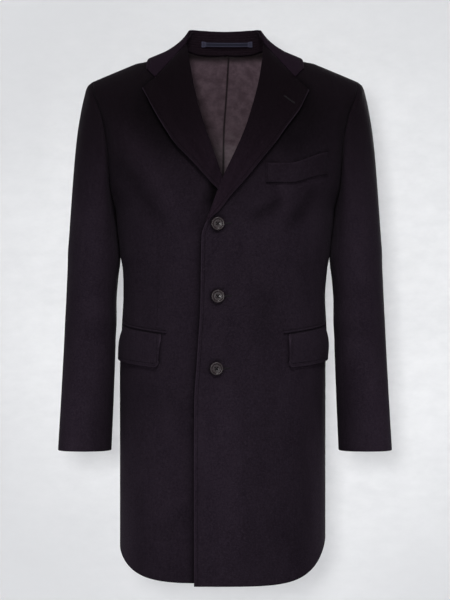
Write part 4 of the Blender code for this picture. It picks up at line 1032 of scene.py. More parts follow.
def arm_hollow(distance, heights, reach, face):
    """Sinking of the cloth beside the armhole seam, for seam points at those heights."""
    level = ease(heights, *ARM_SINK_LOW) * ease(heights, *ARM_SINK_TOP)
    depth = ARM_SINK * np.exp(-((distance / reach) ** 2)) * level
    return (depth * -face)[..., None] * TO_BACK


SHADES = {  # reach and depth of the painted shadow beside what lies on the cloth
    "lapel": (0.0060, 0.50),
    "overlap": (0.0066, 0.72),
    "arm": (0.0100, 0.45),
    "sleeve": (0.0120, 0.35),
    "flap": (0.0032, 0.72),
    "welt": (0.0018, 0.55),
    "button": (0.0026, 0.80),
}
# the deepest painted shade
DARKEST = -0.85
TONE_SPREAD = 1.4  # a fold's painted shade is wider than its hollow
ARM_TONE_TOP = (-0.05, -0.14)  # heights between which the painted shade along the armhole comes in
ARM_TONE_LOW = (ARMHOLE_LOW - 0.05, ARMHOLE_LOW)
FACING_TONE, FACING_X = 0.10, (0.032, 0.026)  # painted light over the facing, as far as its inner edge
FACING_TONE_HEIGHTS = (-0.50, -0.60)
# heights below which the painted shadow beside the overlapping front's edge comes in
OVERLAP_HEIGHTS = (-0.17, -0.20)
RIM_TONE, RIM_SHARES = 0.62, (0.76, 0.98)  # painted light, as a rim light, where the skirt turns to the sides
RIM_HEIGHTS = (-0.56, -0.68)


def shade(kind, distance):
    reach, depth = SHADES[kind]
    return -depth * np.exp(-np.abs(distance) / reach)


def distance_to(grid, x, z):
    """Distance, as seen in front, from the grid's points to the nearest of some points."""
    away = np.hypot(grid[..., 0, None] - x, grid[..., 2, None] - z)
    return away.min(axis=-1)


def front_painted_shading(side, grid, from_arm):
    """Painted shade and light on a front: along its folds, beside what lies on it, over the facing and
    at its sides.
    """
    x, z = grid[..., 0], grid[..., 2]
    tone = along_folds(x, z, face_folds(FRONT), "tone", TONE_SPREAD)
    table, along = LAPEL_OUTLINE[side], np.linspace(0.03, 0.98, 60)
    outer = column(table, "outer_x")(along), column(table, "outer_z")(along)
    tone = tone + shade("lapel", distance_to(grid, *outer))
    flap_end = flap_grid(side)[:, 0]
    tone = tone + shade("flap", distance_to(grid, flap_end[:, 0], flap_end[:, 2]))
    level = ease(z, *ARM_TONE_LOW) * ease(z, *ARM_TONE_TOP)
    tone = tone + shade("arm", from_arm) * level
    if side == LEFT:
        top = welt_grid()[-1]
        tone = tone + shade("welt", distance_to(grid, top[:, 0], top[:, 2] + LAY_GAP))
        for _, button_x, button_z in BUTTONS[1:]:
            tone = tone + shade("button", np.hypot(x - button_x, z - button_z) - BUTTON_RADIUS)
        tone = tone + FACING_TONE * ease(x, *FACING_X) * ease(z, *FACING_TONE_HEIGHTS)
    else:
        tone = tone + shade("overlap", FRONT_EDGE[LEFT](z) - x) * ease(z, *OVERLAP_HEIGHTS)
    outward = np.abs(x - SHIFT(z)) / HALF_WIDTH(z)
    tone = tone + RIM_TONE * ease(outward, *RIM_SHARES) * ease(z, *RIM_HEIGHTS)
    return np.maximum(tone, DARKEST)


DARTS = {  # x and height of each front's dart at its top and its bottom
    LEFT: ((0.1060, -0.2900), (0.1010, -0.4350)),
    RIGHT: ((-0.1110, -0.2900), (-0.1150, -0.4400)),
}
DART_WANDER = 0.0006
DART_FAINTNESS = 0.0008


def dart_distance(side, grid):
    """Distance, across the front, to its waist dart."""
    (x0, z0), (x1, z1) = DARTS[side]
    along = (grid[..., 2] - z0) / (z1 - z0)
    line = mix(x0, x1, along) + DART_WANDER * np.sin(along * 9)
    beyond = np.maximum(np.maximum(-along, along - 1), 0) * FAR
    return np.hypot(grid[..., 0] - line, beyond)


def make_body(wool, satin):
    """The two fronts and the two halves of the back."""
    grids = {}
    for side, word in SIDES:
        grid = front_panel(side)
        up, across = run_along(grid, 0), run_along(grid, 1)
        from_arm = across[:, -1:] - across
        layers = edge_layers(grid, ("left",))
        layers["seam"] = np.minimum(dart_distance(side, grid) + DART_FAINTNESS, from_arm)
        layers["tone"] = front_painted_shading(side, grid, from_arm)
        grid = grid + arm_hollow(from_arm, grid[:, -1:, 2], BODY_SINK_REACH, FRONT)
        if side == LEFT:
            free = ease(grid[..., 2], *FRONT_LIFT_HEIGHTS)
            lift = FRONT_LIFT * ease(across, FRONT_LIFT_REACH, 0) * free
            grid = grid - lift[..., None] * TO_BACK
        turned_in = (across < FRONT_FACING) | (up < HEM_FACING)
        grids["front_" + word] = cloth(
            "front_" + word, grid, WOOL, {"left": CREASE_BULGE, "bottom": CREASE_BULGE},
            (wool, satin), side, layers=layers,
            inside=np.where(turned_in, WOOL_INSIDE, SATIN_INSIDE)[:-1, :-1],
        )
        grid = back_panel(side)
        up, across = run_along(grid, 0), run_along(grid, 1)
        from_arm = across[:, -1:] - across
        grid = grid + arm_hollow(from_arm, grid[:, -1:, 2], BODY_SINK_REACH, BACK)
        # painted shade and light along the back's folds
        tone = along_folds(grid[..., 0], grid[..., 2], face_folds(BACK), "tone", TONE_SPREAD)
        grids["back_" + word] = cloth(
            "back_" + word, grid, WOOL, {"bottom": CREASE_BULGE}, (wool, satin), -side,
            layers={"seam": np.minimum(across, from_arm), "tone": tone},
            inside=np.where(up < HEM_FACING, WOOL_INSIDE, SATIN_INSIDE)[:-1, :-1],
        )
    return grids


CUFF_TONES = (-0.28, 0.40)  # painted shade of the sleeve's end toward the body, and painted light away from it
CUFF_TONE_HEIGHTS = (-0.46, -0.60)
# painted light over the whole sleeve
SLEEVE_TONE = 0.09
SLEEVE_TONE_LOW = (ARMHOLE_LOW - 0.09, ARMHOLE_LOW - 0.02)


def sleeve_painted_shading(side, grid, from_arm):
    """Painted light over the whole sleeve; painted shade beside the armhole and, at the sleeve's end,
    toward the body, with painted light away from it.
    """
    x, z = grid[..., 0], grid[..., 2]
    level = ease(z, *SLEEVE_TONE_LOW) * ease(z, *ARM_TONE_TOP)
    outward = (side * x - column(SLEEVE, "centre_x")(z)) / column(SLEEVE, "half_width")(z)
    cuff = mix(*CUFF_TONES, ease(outward, -0.8, 0.8)) * ease(z, *CUFF_TONE_HEIGHTS)
    return SLEEVE_TONE + shade("sleeve", from_arm) * level + cuff


def make_sleeves(wool, satin):
    for side, word in SIDES:
        tube = sleeve_tube(side)
        seam = run_along(tube, 0)
        face = np.where(np.arange(tube.shape[1]) <= ARM_ROWS, FRONT, BACK)
        tube = tube + arm_hollow(seam, tube[:1, :, 2], SLEEVE_SINK_REACH, face)
        tube, seam = tube[::-1], seam[::-1]
        count, step = tube.shape[1], ARM_ROWS // 9
        first, last = 2 * step, count - 4 * step  # columns of the front and the back seam
        if side == RIGHT:
            tube, seam = np.roll(tube[:, ::-1], 1, axis=1), np.roll(seam[:, ::-1], 1, axis=1)
            first, last = count - last, count - first
        normals = grid_normals(tube, closed=True)
        over, under = np.arange(first, last + 1), np.arange(last, first + count + 1) % count
        for name, picks in (("top_sleeve_" + word, over), ("under_sleeve_" + word, under)):
            grid, from_arm = tube[:, picks], seam[:, picks]
            up = run_along(grid, 0)
            cloth(
                name, grid, WOOL, {"bottom": CREASE_BULGE}, (wool, satin), inward=-normals[:, picks],
                layers={"seam": from_arm, "tone": sleeve_painted_shading(side, grid, from_arm)},
                inside=np.where(up < HEM_FACING, WOOL_INSIDE, SATIN_INSIDE)[:-1, :-1],
            )


def gorge(share, below):
    """|x| and height along the gorge from the roll to the notch, moved down from its line."""
    (x0, z0), (x1, z1) = GORGE
    length = math.hypot(x1 - x0, z1 - z0)
    x = mix(x0, x1, share) + below * (z1 - z0) / length
    return x, mix(z0, z1, share) - below * (x1 - x0) / length


def lapel_grid(side, rows=110, columns=56):
    """A lapel lying on its front: rows from the break up to the gorge."""
    table = LAPEL_OUTLINE[side]
    along = np.linspace(1, 0, rows + 1)[:, None]
    share = np.linspace(0, 1, columns + 1)
    roll_z, outer_x, outer_z = (column(table, name)(along) for name in table[0][1:])
    roll_x = FRONT_EDGE[side](np.minimum(roll_z, 0.030)) - side * ROLL_OVERHANG
    before = np.clip(share / NOTCH_SHARE, 0, 1)
    past = np.clip((share - NOTCH_SHARE) / (1 - NOTCH_SHARE), 0, 1)
    top_x, top_z = gorge(before, GORGE_GAP)
    top_x, top_z = mix(side * top_x, outer_x, past), mix(top_z, outer_z, past)
    near_top = ease(along, 0.30, 0.0)
    x = mix(mix(roll_x, outer_x, share), top_x, near_top)
    z = mix(mix(roll_z, outer_z, share), top_z, near_top)
    soft = LAPEL_ROLL * ease(along, 1.0, 0.75) * ease(along, 0.0, 0.15)
    edge = LAPEL_LIFT * ease(along, 1.0, 0.8) * ease(along, 0.0, 0.2) * ease(share, 0.6, 1.0)
    lift = soft * np.sin(np.pi * np.clip(share / 0.7, 0, 1)) + edge
    return front_point(side, x, z, lift + LAY_GAP + FOLDED_WOOL)


# painted shade on the lapel's upper part
LAPEL_TONE, LAPEL_TONE_HEIGHTS = -0.20, (-0.21, -0.09)


def make_lapels(wool, grids):
    rims = {"left": CREASE_BULGE, "right": CREASE_BULGE, "top": NARROW_BULGE, "bottom": NARROW_BULGE}
    for side, word in SIDES:
        grid, name = lapel_grid(side), "lapel_" + word
        layers = edge_layers(grid, ("right",))
        layers["tone"] = LAPEL_TONE * ease(grid[..., 2], *LAPEL_TONE_HEIGHTS)
        grids[name] = cloth(name, grid, FOLDED_WOOL, rims, (wool,), side, layers=layers)


def collar_row(where):
    """The collar table read at one place along the neck."""
    return {name: float(column(COLLAR, name)(where)) for name in COLLAR[0][1:]}


def mirrored(half):
    """Both halves of what is given as columns from the middle to the wearer's left."""
    half = np.array(half).transpose(1, 0, 2)
    return np.concatenate([half[:, :0:-1] * np.array([-1.0, 1, 1]), half], axis=1)


def collar_leaf_grid(columns=110, rows=36):
    """The collar's fall: columns round the neck from right to left, rows from edge to roll."""
    down = np.linspace(1, 0, rows + 1)
    low = down >= COLLAR_MID
    past = np.clip((down - COLLAR_MID) / (1 - COLLAR_MID), 0, 1)
    before = np.clip(down / COLLAR_MID, 0, 1)
    places = np.linspace(0, 1, columns + 1)
    half = []
    for where in places:
        row = collar_row(where)
        share = np.append(past[low], 0.0)
        x, y = mix(row["mid_x"], row["edge_x"], share), mix(row["mid_y"], row["edge_y"], share)
        spring = COLLAR_SPRING * np.exp(-(((y - RIDGE_Y) / SEAM_ROUND) ** 2))
        laid = drape(x, y, LAY_GAP + FOLDED_WOOL + spring * ease(where, 1.0, 0.88))
        roll = np.array([row["roll_x"], row["roll_y"], row["roll_z"]])
        free = mix(roll, laid[0], np.append(down[low], COLLAR_MID)[:, None]) + COLLAR_BULGE * TO_BACK
        laid[1:] = mix(free[1:], laid[1:], ease(where, 0.40, 0.62))
        middle, laid = laid[-1], laid[:-1]
        bend = mix(roll, middle, np.array([0.30, 0.45, row["sag"]]))
        t = before[~low][:, None]
        fall = (1 - t) ** 2 * roll + 2 * t * (1 - t) * bend + t**2 * middle
        half.append(np.concatenate([laid, fall]))
    half = np.array(half)
    x, z = gorge(before, -GORGE_GAP)
    x, z = mix(x, COLLAR_TIP[0], past), mix(z, COLLAR_TIP[1], past)
    end = lay_on(x, np.minimum(z, ridge_height(x) - 0.0005), FRONT, LAY_GAP + FOLDED_WOOL)
    return mirrored(half + (end - half[-1]) * ease(places, 0.90, 1)[:, None, None])


def collar_stand_grid(columns=40, rows=14):
    """The stand inside the collar: columns from right to left, rows from neckline to top."""
    half = []
    for where in np.linspace(0, STAND_END, columns + 1):
        row = collar_row(where)
        inside = unit(np.array([-row["roll_x"], -row["roll_y"] - STAND_LEAN, 0.0]))
        top = np.array([row["roll_x"], row["roll_y"], row["roll_z"] - STAND_DROP])
        top = top + inside * STAND_INSET
        along = math.sin(math.radians(90 * where / STAND_END)) ** STAND_BASE_ROUND
        x = NECK_X * along * STAND_BASE_WIDTH
        base = body_point(turn_of(x, neck_top(x)), neck_top(x), BACK)
        base = base + inside * STAND_BASE_INSET + np.array([0, 0, 2 * SEAM_GAP])
        half.append(mix(base, top, np.linspace(0, 1, rows + 1)[:, None]))
    return mirrored(half)


def make_collar(wool, stand_wool):
    leaf = collar_leaf_grid()[:, ::-1]
    rims = {"bottom": CREASE_BULGE, "top": CREASE_BULGE, "left": NARROW_BULGE, "right": NARROW_BULGE}
    cloth("collar_leaf", leaf, FOLDED_WOOL, rims, (wool,), layers=edge_layers(leaf, ("bottom",)))
    stand = collar_stand_grid()[:, ::-1]
    cloth("collar_stand", stand, STAND_THICK, {"top": 0.0010}, (stand_wool,))


FLAP_LENGTH = 0.15  # about what it measures
FLAP_BELLY, FLAP_BELLY_LOW = 0.0016, 0.95  # how far it swells, and down to which share
FLAP_END_LIFT, FLAP_END_REACH = 0.0034, 0.10  # of its inner end, and the share of its length
# painted light on the flaps and the jets
FLAP_TONE, JET_TONE = 0.11, 0.10
JET_BELLY = 0.0006


def flap_grid(side, rows=30, columns=70):
    share = (1 - np.cos(np.linspace(0, math.pi, columns + 1))) / 2
    down = np.linspace(1, 0, rows + 1)[:, None]
    from_end = np.minimum(share, 1 - share) * FLAP_LENGTH
    corner = FLAP_CORNER * (1 - np.sqrt(1 - (1 - np.clip(from_end / FLAP_CORNER, 0, 1)) ** 2))
    z = FLAP_TOP + FLAP_RISE * share - (FLAP_HEIGHT - corner) * down
    start = turn_of(side * FLAP_INNER_X, FLAP_TOP)
    turn = mix(start, side * mix(*FLAP_END_TURNS, down), share)
    belly = FLAP_BELLY * np.sin(math.pi * np.minimum(down, FLAP_BELLY_LOW))
    end_lift = FLAP_END_LIFT * np.exp(-share / FLAP_END_REACH) * ease(down, 0, 0.3)
    return out_from(turn, z, LAY_GAP + FOLDED_WOOL + belly + end_lift)


def jet_grid(side, columns=60, rows=6):
    share = np.linspace(0, 1, columns + 1)
    up = np.linspace(0, 1, rows + 1)[:, None]
    turn = mix(turn_of(side * JET_INNER_X, FLAP_TOP), side * JET_END_TURN, share)
    flap_ends = turn_of(side * FLAP_INNER_X, FLAP_TOP), side * FLAP_END_TURNS[0]
    along_flap = (turn - flap_ends[0]) / (flap_ends[1] - flap_ends[0])
    z = FLAP_TOP + FLAP_RISE * along_flap + LAY_GAP + JET_HEIGHT * up
    return out_from(turn, z, LAY_GAP + JET_THICK + JET_BELLY * (1 - np.abs(2 * up - 1)))


def welt_grid(columns=60, rows=20):
    share = np.linspace(0, 1, columns + 1)
    rise = ease(share, *WELT_RISE)
    z = mix(*WELT_LOW, rise) + mix(*WELT_HEIGHT, rise) * np.linspace(0, 1, rows + 1)[:, None]
    return front_point(LEFT, mix(*WELT_X, share), z, LAY_GAP + WELT_THICK)


WELT_EDGE_TONE, WELT_EDGE = 0.34, (0.0030, 0.0010)  # its folded top edge catches the light
WELT_TONES = (0.06, -0.08)  # at its two ends
WELT_STITCHES = (0.0018, 0.0062)  # distances of the two rows of stitches from each of its ends


def make_pockets(wool):
    free = ("left", "right", "bottom")
    flap_rims = dict.fromkeys(free, FOLD_BULGE) | {"top": NARROW_BULGE}
    jet_rims = dict.fromkeys(("top", "bottom"), NARROW_BULGE)
    for side, word in SIDES:
        grid = flap_grid(side)
        up = run_along(grid, 0)
        layers = edge_layers(grid, free) | {"seam": up[-1:] - up, "tone": FLAP_TONE}
        cloth("pocket_flap_" + word, grid, FOLDED_WOOL, flap_rims, (wool,), side, layers=layers)
        grid = jet_grid(side)
        up = run_along(grid, 0)
        layers = {"seam": np.minimum(up, up[-1:] - up), "tone": JET_TONE}
        cloth("pocket_jet_" + word, grid, JET_THICK, jet_rims, (wool,), side, layers=layers)
    grid = welt_grid()
    up, columns = run_along(grid, 0), grid.shape[1]
    layers = edge_layers(grid, ("left", "right"))
    nearest = np.abs(layers["edge"][..., None] - np.array(WELT_STITCHES)).min(axis=-1)
    layers["edge"] = STITCH_FROM_EDGE + nearest
    layers["seam"] = up + np.linspace(0, 0.0010, columns)
    layers["tone"] = WELT_EDGE_TONE * ease(up[-1:] - up, *WELT_EDGE) + np.linspace(*WELT_TONES, columns)
    rims = {"top": FOLD_BULGE, "left": NARROW_BULGE, "right": NARROW_BULGE}
    cloth("breast_welt", grid, WELT_THICK, rims, (wool,), layers=layers)


LINING_SEAM = (  # how far the lining's middle seam has slipped toward the wearer's left
    ("height", "x"),
    (-0.340, -0.0050),
    (-0.160, -0.0030),
    (-0.100, -0.0020),
    (-0.050, 0.0015),
    (0.000, 0.0048),
    (0.030, 0.0066),
)
LINING_SEAM_REACH = 0.06  # width over which the satin slips with it
LINING_CREASES = (  # the satin's slack
    ("x0", "z0", "x1", "z1", "out", "half_width"),
    (0.0185, -0.0160, 0.0300, -0.0340, -0.0022, 0.0030),
    (0.0340, -0.0290, 0.0250, -0.0480, -0.0018, 0.0030),
    (0.0060, -0.0900, 0.0215, -0.1040, -0.0026, 0.0034),
    (0.0050, -0.1180, 0.0230, -0.1225, -0.0026, 0.0032),
    (0.0110, -0.1300, 0.0250, -0.1170, -0.0022, 0.0030),
    (0.0400, -0.0600, 0.0200, -0.0750, -0.0014, 0.0050),
    (0.0030, -0.0550, 0.0200, -0.0600, -0.0012, 0.0045),
    (-0.0400, -0.0200, -0.0200, -0.0800, 0.0012, 0.0070),
    (-0.0500, -0.0600, -0.0300, -0.1400, -0.0012, 0.0080),
    (0.0580, 0.0150, 0.0560, -0.0150, 0.0016, 0.0040),
    (-0.0500, -0.0080, -0.0100, -0.0160, -0.0010, 0.0050),
)


def make_lining(satin, grids):
    """The two halves of the back lining, whose middle seam has slipped a little to one side."""
    count = LINING_COLUMNS * 7
    for side, word in SIDES:
        back = grids["back_" + word]
        normals = grid_normals(back)
        middle = 0 if side == RIGHT else -1
        low = int(np.argmin(np.abs(back[:, middle, 2] - LINING_LOW)))
        columns = slice(-1 - count, None) if side == LEFT else slice(0, count + 1)
        relief = along_folds(back[..., 0], back[..., 2], LINING_CREASES, "out")
        depth = WOOL + LAY_GAP + LINING_SLACK + relief * ease(np.abs(back[..., 0]), 0.0, 0.006)
        grid = (back - normals * depth[..., None])[low:, columns]
        seam_distance = np.abs(grid[..., 0])
        slip = column(LINING_SEAM, "x")(grid[..., 2])
        grid[..., 0] += slip * (1 - ease(seam_distance, 0, LINING_SEAM_REACH))
        cloth(
            "lining_" + word, grid, LINING, {}, (satin,), slot="lining", gap=0.0,
            inward=-normals[low:, columns], layers={"seam": seam_distance},
        )


LOOP_SHARES = (1.18, 0.90)  # of its width: where its ends are sewn down, and between them
LOOP_SEWN = (0.004, 0.009)  # distances from an end between which it narrows
LOOP_SIDES, LOOP_POINTS = 16, 160  # grid counts, across and along


def make_hanger_loop(material):
    stand = collar_stand_grid()
    inner = stand + grid_normals(stand) * STAND_THICK
    row = inner[len(inner) // 3]
    share = np.linspace(0, 1, LOOP_POINTS)
    x, middle = mix(*LOOP_X, share), mix(*LOOP_HEIGHTS, share)
    y = np.interp(x, row[:, 0], row[:, 1]) - LOOP_SAG * np.sin(np.pi * share) ** 0.8
    from_end = np.minimum(share, 1 - share) * abs(LOOP_X[1] - LOOP_X[0])
    width = LOOP_WIDTH * mix(*LOOP_SHARES, ease(from_end, *LOOP_SEWN))
    z = middle + width * np.linspace(-0.5, 0.5, LOOP_SIDES)[:, None]
    grid = np.stack(np.broadcast_arrays(x, y - LAY_GAP - LOOP_THICK, z), axis=-1)
    up, across = run_along(grid, 0), run_along(grid, 1)
    layers = {
        "edge": np.minimum(up, up[-1:] - up),
        "end": np.minimum(across, across[:, -1:] - across),
    }
    rims = {"top": 0.0006, "bottom": 0.0006}
    cloth("hanger_loop", grid, LOOP_THICK, rims, (material,), slot="loop", layers=layers)


FINE_SIDES = 72
THREAD_RADIUS = 0.00042
DISH_DEPTH = 0.0006  # how much deeper its middle is than the recess's edge
DISH_SHARE, DISH_MARGIN = 0.5, 0.0004  # of the radius; of the height at which the dish ends
RECESS_HEIGHT = 0.0024  # of the button's sunk middle above its underside
BUTTON_TILTS = ((2.0, 6.0), (-1.0, 5.5), (2.5, 5.0))  # degrees about X and Z of each button
CROSSING_LIFT, CROSSING_STEP = 0.0005, 0.0006  # how far the threads arch, and the upper one more
THREAD_SHIFT = 0.00035  # of each of a hole's two threads from the middle
HOLE_SIDES, HOLE_DEPTH = 20, 0.02


def smooth_profile(table, steps=4):
    """A lathe profile with its corners rounded, as radius and height pairs."""
    points = np.array(table[1:])
    fine = np.linspace(0, len(points) - 1, steps * (len(points) - 1) + 1)
    line = np.stack([np.interp(fine, np.arange(len(points)), row) for row in points.T], axis=1)
    for _ in range(2):
        line[1:-1] = (line[:-2] + 2 * line[1:-1] + line[2:]) / 4
    return line


def through_rings(rings):
    """Points and faces of a closed surface through rings of points."""
    rings = np.array(rings)
    count, sides = rings.shape[:2]
    faces = []
    for low in range(0, (count - 1) * sides, sides):
        for k in range(sides):
            after = (k + 1) % sides
            faces.append((low + k, low + after, low + sides + after, low + sides + k))
    faces.append(tuple(range(sides))[::-1])
    faces.append(tuple(range((count - 1) * sides, count * sides)))
    return rings.reshape(-1, 3).tolist(), faces


def turned_disc(name):
    """A button's blank: its axis along Y, its face toward -Y."""
    angles = np.radians(np.arange(FINE_SIDES) * 360 / FINE_SIDES)
    circle = BUTTON_RADIUS * np.stack([np.cos(angles), 0 * angles, np.sin(angles)], axis=1)
    (_, middle), *profile = smooth_profile(BUTTON_PROFILE)
    rings = []
    for share, height in profile[::-1]:
        if share < DISH_SHARE and height > RECESS_HEIGHT - DISH_MARGIN:
            height -= DISH_DEPTH * (1 - (share / DISH_SHARE) ** 2)
        rings.append(circle * share - height * TO_BACK)
    points, faces = through_rings(rings)
    points.append((0, DISH_DEPTH - middle, 0))
    last = faces.pop()
    faces += [(len(points) - 1, near, far) for near, far in zip(last, last[1:] + last[:1])]
    mesh = bpy.data.meshes.new(name)
    mesh.from_pydata(points, [], faces)
    return link(name, mesh)


def tube(path, radius, sides=10):
    """Points and faces of a closed tube along a path of points."""
    way = unit(np.gradient(path, axis=0))
    aside = unit(np.cross(way, np.array([0.31, 0.83, 0.47])))  # a direction that no path runs in
    third = np.cross(way, aside)
    angles = np.linspace(0, 2 * math.pi, sides, endpoint=False)
    rings = [path + radius * (aside * math.cos(a) + third * math.sin(a)) for a in angles]
    return through_rings(np.stack(rings, axis=1))


def add_shape(piece, points, faces, material):
    """Adds a closed shape to a piece's mesh, in its own material."""
    mesh = piece.data
    if material.name not in mesh.materials:
        mesh.materials.append(material)
    shape = bpy.data.meshes.new("shape")
    shape.from_pydata(points, [], faces)
    shape.polygons.foreach_set("material_index", [mesh.materials.find(material.name)] * len(faces))
    both = bmesh.new()
    both.from_mesh(mesh)
    both.from_mesh(shape)
    both.to_mesh(mesh)
    both.free()
    bpy.data.meshes.remove(shape)
    mesh.shade_smooth()


def drill(disc, x, z):
    """One hole through a disc, along its axis."""
    bpy.ops.mesh.primitive_cylinder_add(
        vertices=HOLE_SIDES, radius=HOLE_RADIUS, depth=HOLE_DEPTH,
        location=(x, 0, z), rotation=(math.pi / 2, 0, 0),
    )
    cutter = bpy.context.object
    cut = disc.modifiers.new("hole", "BOOLEAN")
    cut.operation, cut.solver, cut.object = "DIFFERENCE", "EXACT", cutter
    bpy.context.view_layer.objects.active = disc
    bpy.ops.object.modifier_apply(modifier=cut.name)
    bpy.data.objects.remove(cutter)


def make_buttons(horn, thread):
    """Four-hole horn buttons, sewn on with crossed thread over a short shank."""
    top = DISH_DEPTH * 0.6 - RECESS_HEIGHT - THREAD_RADIUS
    t = np.linspace(-1, 1, 17)
    for (name, x, z), (nod, turn) in zip(BUTTONS[1:], BUTTON_TILTS):
        disc = turned_disc(name + "_horn")
        for i in (-1, 1):
            for j in (-1, 1):
                drill(disc, i * HOLE_OFFSET, j * HOLE_OFFSET)
        disc.data.materials.append(horn)
        for i, j, arch in ((-1, -1, CROSSING_LIFT), (1, -1, CROSSING_LIFT + CROSSING_STEP)):
            for shift in (-THREAD_SHIFT, THREAD_SHIFT):
                across = i * HOLE_OFFSET * t - j * shift / math.sqrt(2)
                upward = j * HOLE_OFFSET * t + i * shift / math.sqrt(2)
                path = np.stack([across, top - arch * (1 - t * t), upward], axis=1)
                ends = path[[0, -1]] * np.array([0.96, 0, 0.96]) + BUTTON_LIFT * TO_BACK
                path = np.concatenate([ends[:1], path, ends[1:]])
                add_shape(disc, *tube(path, THREAD_RADIUS), thread)
        disc.location = tuple(front_point(LEFT, np.array(x), np.array(z), BUTTON_LIFT))
        disc.rotation_euler = (math.radians(nod), 0, math.radians(turn))
        finish_piece(disc, [name], "horn")


BUTTONHOLES = (  # ends as seen in front; on is the piece that it is worked in
    ("name", "on", "x0", "z0", "x1", "z1"),
    ("buttonhole_top", "front_left", -0.0090, -0.2704, 0.0105, -0.2698),
    ("buttonhole_middle", "front_left", -0.0090, -0.3917, 0.0105, -0.3912),
    ("buttonhole_bottom", "front_left", -0.0112, -0.5124, 0.0080, -0.5120),
    ("buttonhole_lapel", "lapel_left", 0.1000, -0.0512, 0.1172, -0.0646),
)
BUTTONHOLE_HALF = 0.0009  # half the distance between its two worked edges
STITCH_RADIUS, SLIT_RADIUS, SLIT_START = 0.00040, 0.0006, 0.0008
SIDE_POINTS, EYE_POINTS, SLIT_POINTS = 26, 11, 12  # of the line that each follows


def lift_onto(grid, places, lift):
    """Points at places, given as x and z, on a fine grid of cloth, moved out by lift."""
    flat, normals = grid.reshape(-1, 3), grid_normals(grid).reshape(-1, 3)
    points = []
    for x, z in places:
        away = np.hypot(flat[:, 0] - x, flat[:, 2] - z)
        near = np.argsort(away)[:4]
        weight = (1 / (away[near] + 1e-5))[:, None]
        weight = weight / weight.sum()
        point = np.array([x, (flat[near] * weight).sum(axis=0)[1], z])
        points.append(point + unit((normals[near] * weight).sum(axis=0)) * lift)
    return np.array(points)


def make_buttonholes(grids, edging, slit):
    """Worked buttonholes: a stitched edge round a dark slit."""
    t = np.linspace(0, 1, SIDE_POINTS)[:, None]
    turn = np.radians(np.linspace(90, -90, EYE_POINTS))[:, None]
    for name, on, x0, z0, x1, z1 in BUTTONHOLES[1:]:
        start, end = np.array([x0, z0]), np.array([x1, z1])
        way = unit(end - start)
        aside = BUTTONHOLE_HALF * np.array([-way[1], way[0]])
        eye = end + BUTTONHOLE_HALF * way * np.cos(turn) + aside * np.sin(turn)
        path = np.concatenate([mix(start, end, t) + aside, eye, mix(end, start, t) - aside])
        length = math.dist(start, end)
        middle = start + way * np.linspace(SLIT_START, length, SLIT_POINTS)[:, None]
        mesh = bpy.data.meshes.new(name)
        points, faces = tube(lift_onto(grids[on], path, STITCH_RADIUS * 0.3), STITCH_RADIUS)
        mesh.from_pydata(points, [], faces)
        mesh.materials.append(edging)
        piece = link(name, mesh)
        add_shape(piece, *tube(lift_onto(grids[on], middle, 0.0), SLIT_RADIUS), slit)
        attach(piece, "root")


# ---- Stage ----
CAMERA_DISTANCE, CAMERA_HEIGHT = 4.0, -0.398
FOCAL_PIXELS, FRAME_PIXELS, SENSOR_HEIGHT = 2312, 600, 24.0
WALL_Y, WALL_TOP, FLOOR_Z, FLOOR_BEND, STAGE_REACH = 0.40, 3.5, -1.30, 0.30, 9.0
PLASTER_DARK, PLASTER_LIGHT = (0.800, 0.806, 0.820, 1), (0.930, 0.934, 0.946, 1)
PLASTER_FALLOFF_SHADE = (0.64, 0.645, 0.66, 1)  # painted shade away from the wall's middle, where the light falls off
WALL_CENTRE_X, WALL_DIM = 0.07, (0.34, 0.70)  # and the distances over which that painted shade comes in
SKY_COLOUR, SKY_STRENGTH = (0.94, 0.96, 1.0, 1), 0.18


def make_camera():
    data = bpy.data.cameras.new("camera")
    data.sensor_fit, data.sensor_height = "VERTICAL", SENSOR_HEIGHT
    data.lens = FOCAL_PIXELS / FRAME_PIXELS * SENSOR_HEIGHT
    camera = link("camera", data)
    camera.location = (0, -CAMERA_DISTANCE, CAMERA_HEIGHT)
    camera.rotation_euler = (math.radians(90), 0, 0)
    bpy.context.scene.camera = camera


def plaster_material():
    """Pale clouded plaster with painted shade away from its middle, that is only there from its front.
    """
    look = Look("pale_plaster")
    clouds = look.noise(2.6, 6.0, 0.62)
    grain = look.noise(38.0, 4.0, 0.70, (0.7, 1, 1.3))
    tone = look.times(clouds, 0.62, look.times(grain, 0.38))
    colour = look.blend(look.ramp(tone, 0.34, 0.66, kind="LINEAR"), PLASTER_DARK, PLASTER_LIGHT)
    centre = {0: look.where, 1: (WALL_CENTRE_X, WALL_Y, CAMERA_HEIGHT)}
    around = look.node("ShaderNodeVectorMath", centre, operation="DISTANCE").outputs["Value"]
    # painted shade away from the wall's middle
    look.surface(look.blend(look.ramp(around, *WALL_DIM, 0.0, 0.80), colour, PLASTER_FALLOFF_SHADE), 0.95, 0.1)
    behind = look.node("ShaderNodeNewGeometry").outputs["Backfacing"]
    clear = look.node("ShaderNodeBsdfTransparent").outputs[0]
    both = look.node("ShaderNodeMixShader", {0: behind, 1: look.shader.outputs[0], 2: clear})
    look.tree.links.new(both.outputs[0], look.tree.nodes["Material Output"].inputs["Surface"])
    return look.material


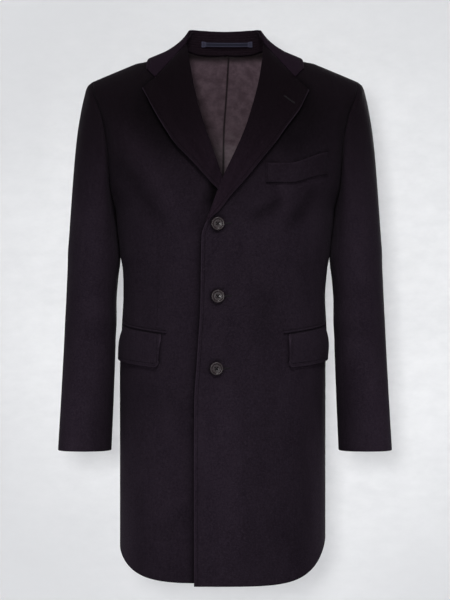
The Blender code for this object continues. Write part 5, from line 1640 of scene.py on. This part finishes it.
def make_backdrop():
    """One pale plaster sheet: a wall close behind the coat that curves out into a floor.

    It has a front only, so that the coat's back can be looked at through it.
    """
    bend = np.radians(np.linspace(0, 90, 25))
    y = [WALL_Y, *(WALL_Y - FLOOR_BEND * (1 - np.cos(bend))), -STAGE_REACH]
    z = [WALL_TOP, *(FLOOR_Z + FLOOR_BEND * (1 - np.sin(bend))), FLOOR_Z]
    points = [(x, *place) for place in zip(y, z) for x in (-STAGE_REACH, STAGE_REACH)]
    faces = [(2 * i, 2 * i + 2, 2 * i + 3, 2 * i + 1) for i in range(len(y) - 1)]
    mesh = bpy.data.meshes.new("backdrop")
    mesh.from_pydata(points, [], faces)
    mesh.shade_smooth()
    mesh.materials.append(plaster_material())
    link("backdrop", mesh)


LIGHTS = (
    ("name", "x", "y", "z", "size", "power", "only_on"),
    ("key", -0.22, -4.3, -0.18, 0.40, 62.0, None),
    ("above", 0.25, -3.0, 2.8, 1.0, 125.0, "coat"),
    ("right", 1.9, -3.3, -0.7, 2.4, 20.0, None),
    ("left", -1.9, -3.3, -1.0, 2.4, 25.0, None),
    ("wall", 0.0, -3.6, -0.4, 3.0, 88.0, "wall"),
    ("behind", 0.7, 3.8, 0.6, 2.0, 150.0, "coat"),
)


def make_lights():
    """Soft studio lights; two are kept off the backdrop and one lights only the backdrop."""
    groups = {name: bpy.data.collections.new(name) for name in ("coat", "wall")}
    for item in bpy.context.scene.objects:
        if item.name == "backdrop":
            groups["wall"].objects.link(item)
        elif item.type == "MESH" and not item.name.startswith("lining"):
            groups["coat"].objects.link(item)
    for name, x, y, z, size, power, only_on in LIGHTS[1:]:
        data = bpy.data.lights.new(name, "AREA")
        data.shape, data.size, data.energy = "SQUARE", size, power
        light = link(name, data)
        light.location = (x, y, z)
        pitch = math.atan2(z - CAMERA_HEIGHT, math.hypot(x, y))
        light.rotation_euler = (math.pi / 2 - pitch, 0, math.atan2(x, -y))
        if only_on:
            light.light_linking.receiver_collection = groups[only_on]
            light.light_linking.blocker_collection = groups[only_on]
    bpy.context.scene.view_settings.view_transform = "Standard"
    world = bpy.data.worlds.new("studio")
    bpy.context.scene.world = world
    world.use_nodes = True
    background = world.node_tree.nodes["Background"]
    background.inputs["Color"].default_value = SKY_COLOUR
    background.inputs["Strength"].default_value = SKY_STRENGTH


def main():
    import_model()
    make_camera()
    make_backdrop()
    wool, satin = wool_material("wool_cloth"), lining_material()
    thread = thread_material("thread", *THREAD_COLOURS)
    grids = make_body(wool, satin)
    make_sleeves(wool, satin)
    make_lapels(wool_material("wool_lapel_shaded", LAPEL_SHADE_TINT), grids)
    stand_wool = wool_material("wool_stand", STAND_LIGHT_TINT, rows=True)
    make_collar(wool_material("wool_collar", COLLAR_LIGHT_TINT), stand_wool)
    make_pockets(wool)
    make_lining(satin, grids)
    make_hanger_loop(ribbon_material())
    make_buttons(horn_material(), thread)
    make_buttonholes(grids, thread_material("buttonhole_thread", *EDGING_COLOURS), thread)
    make_lights()


main()
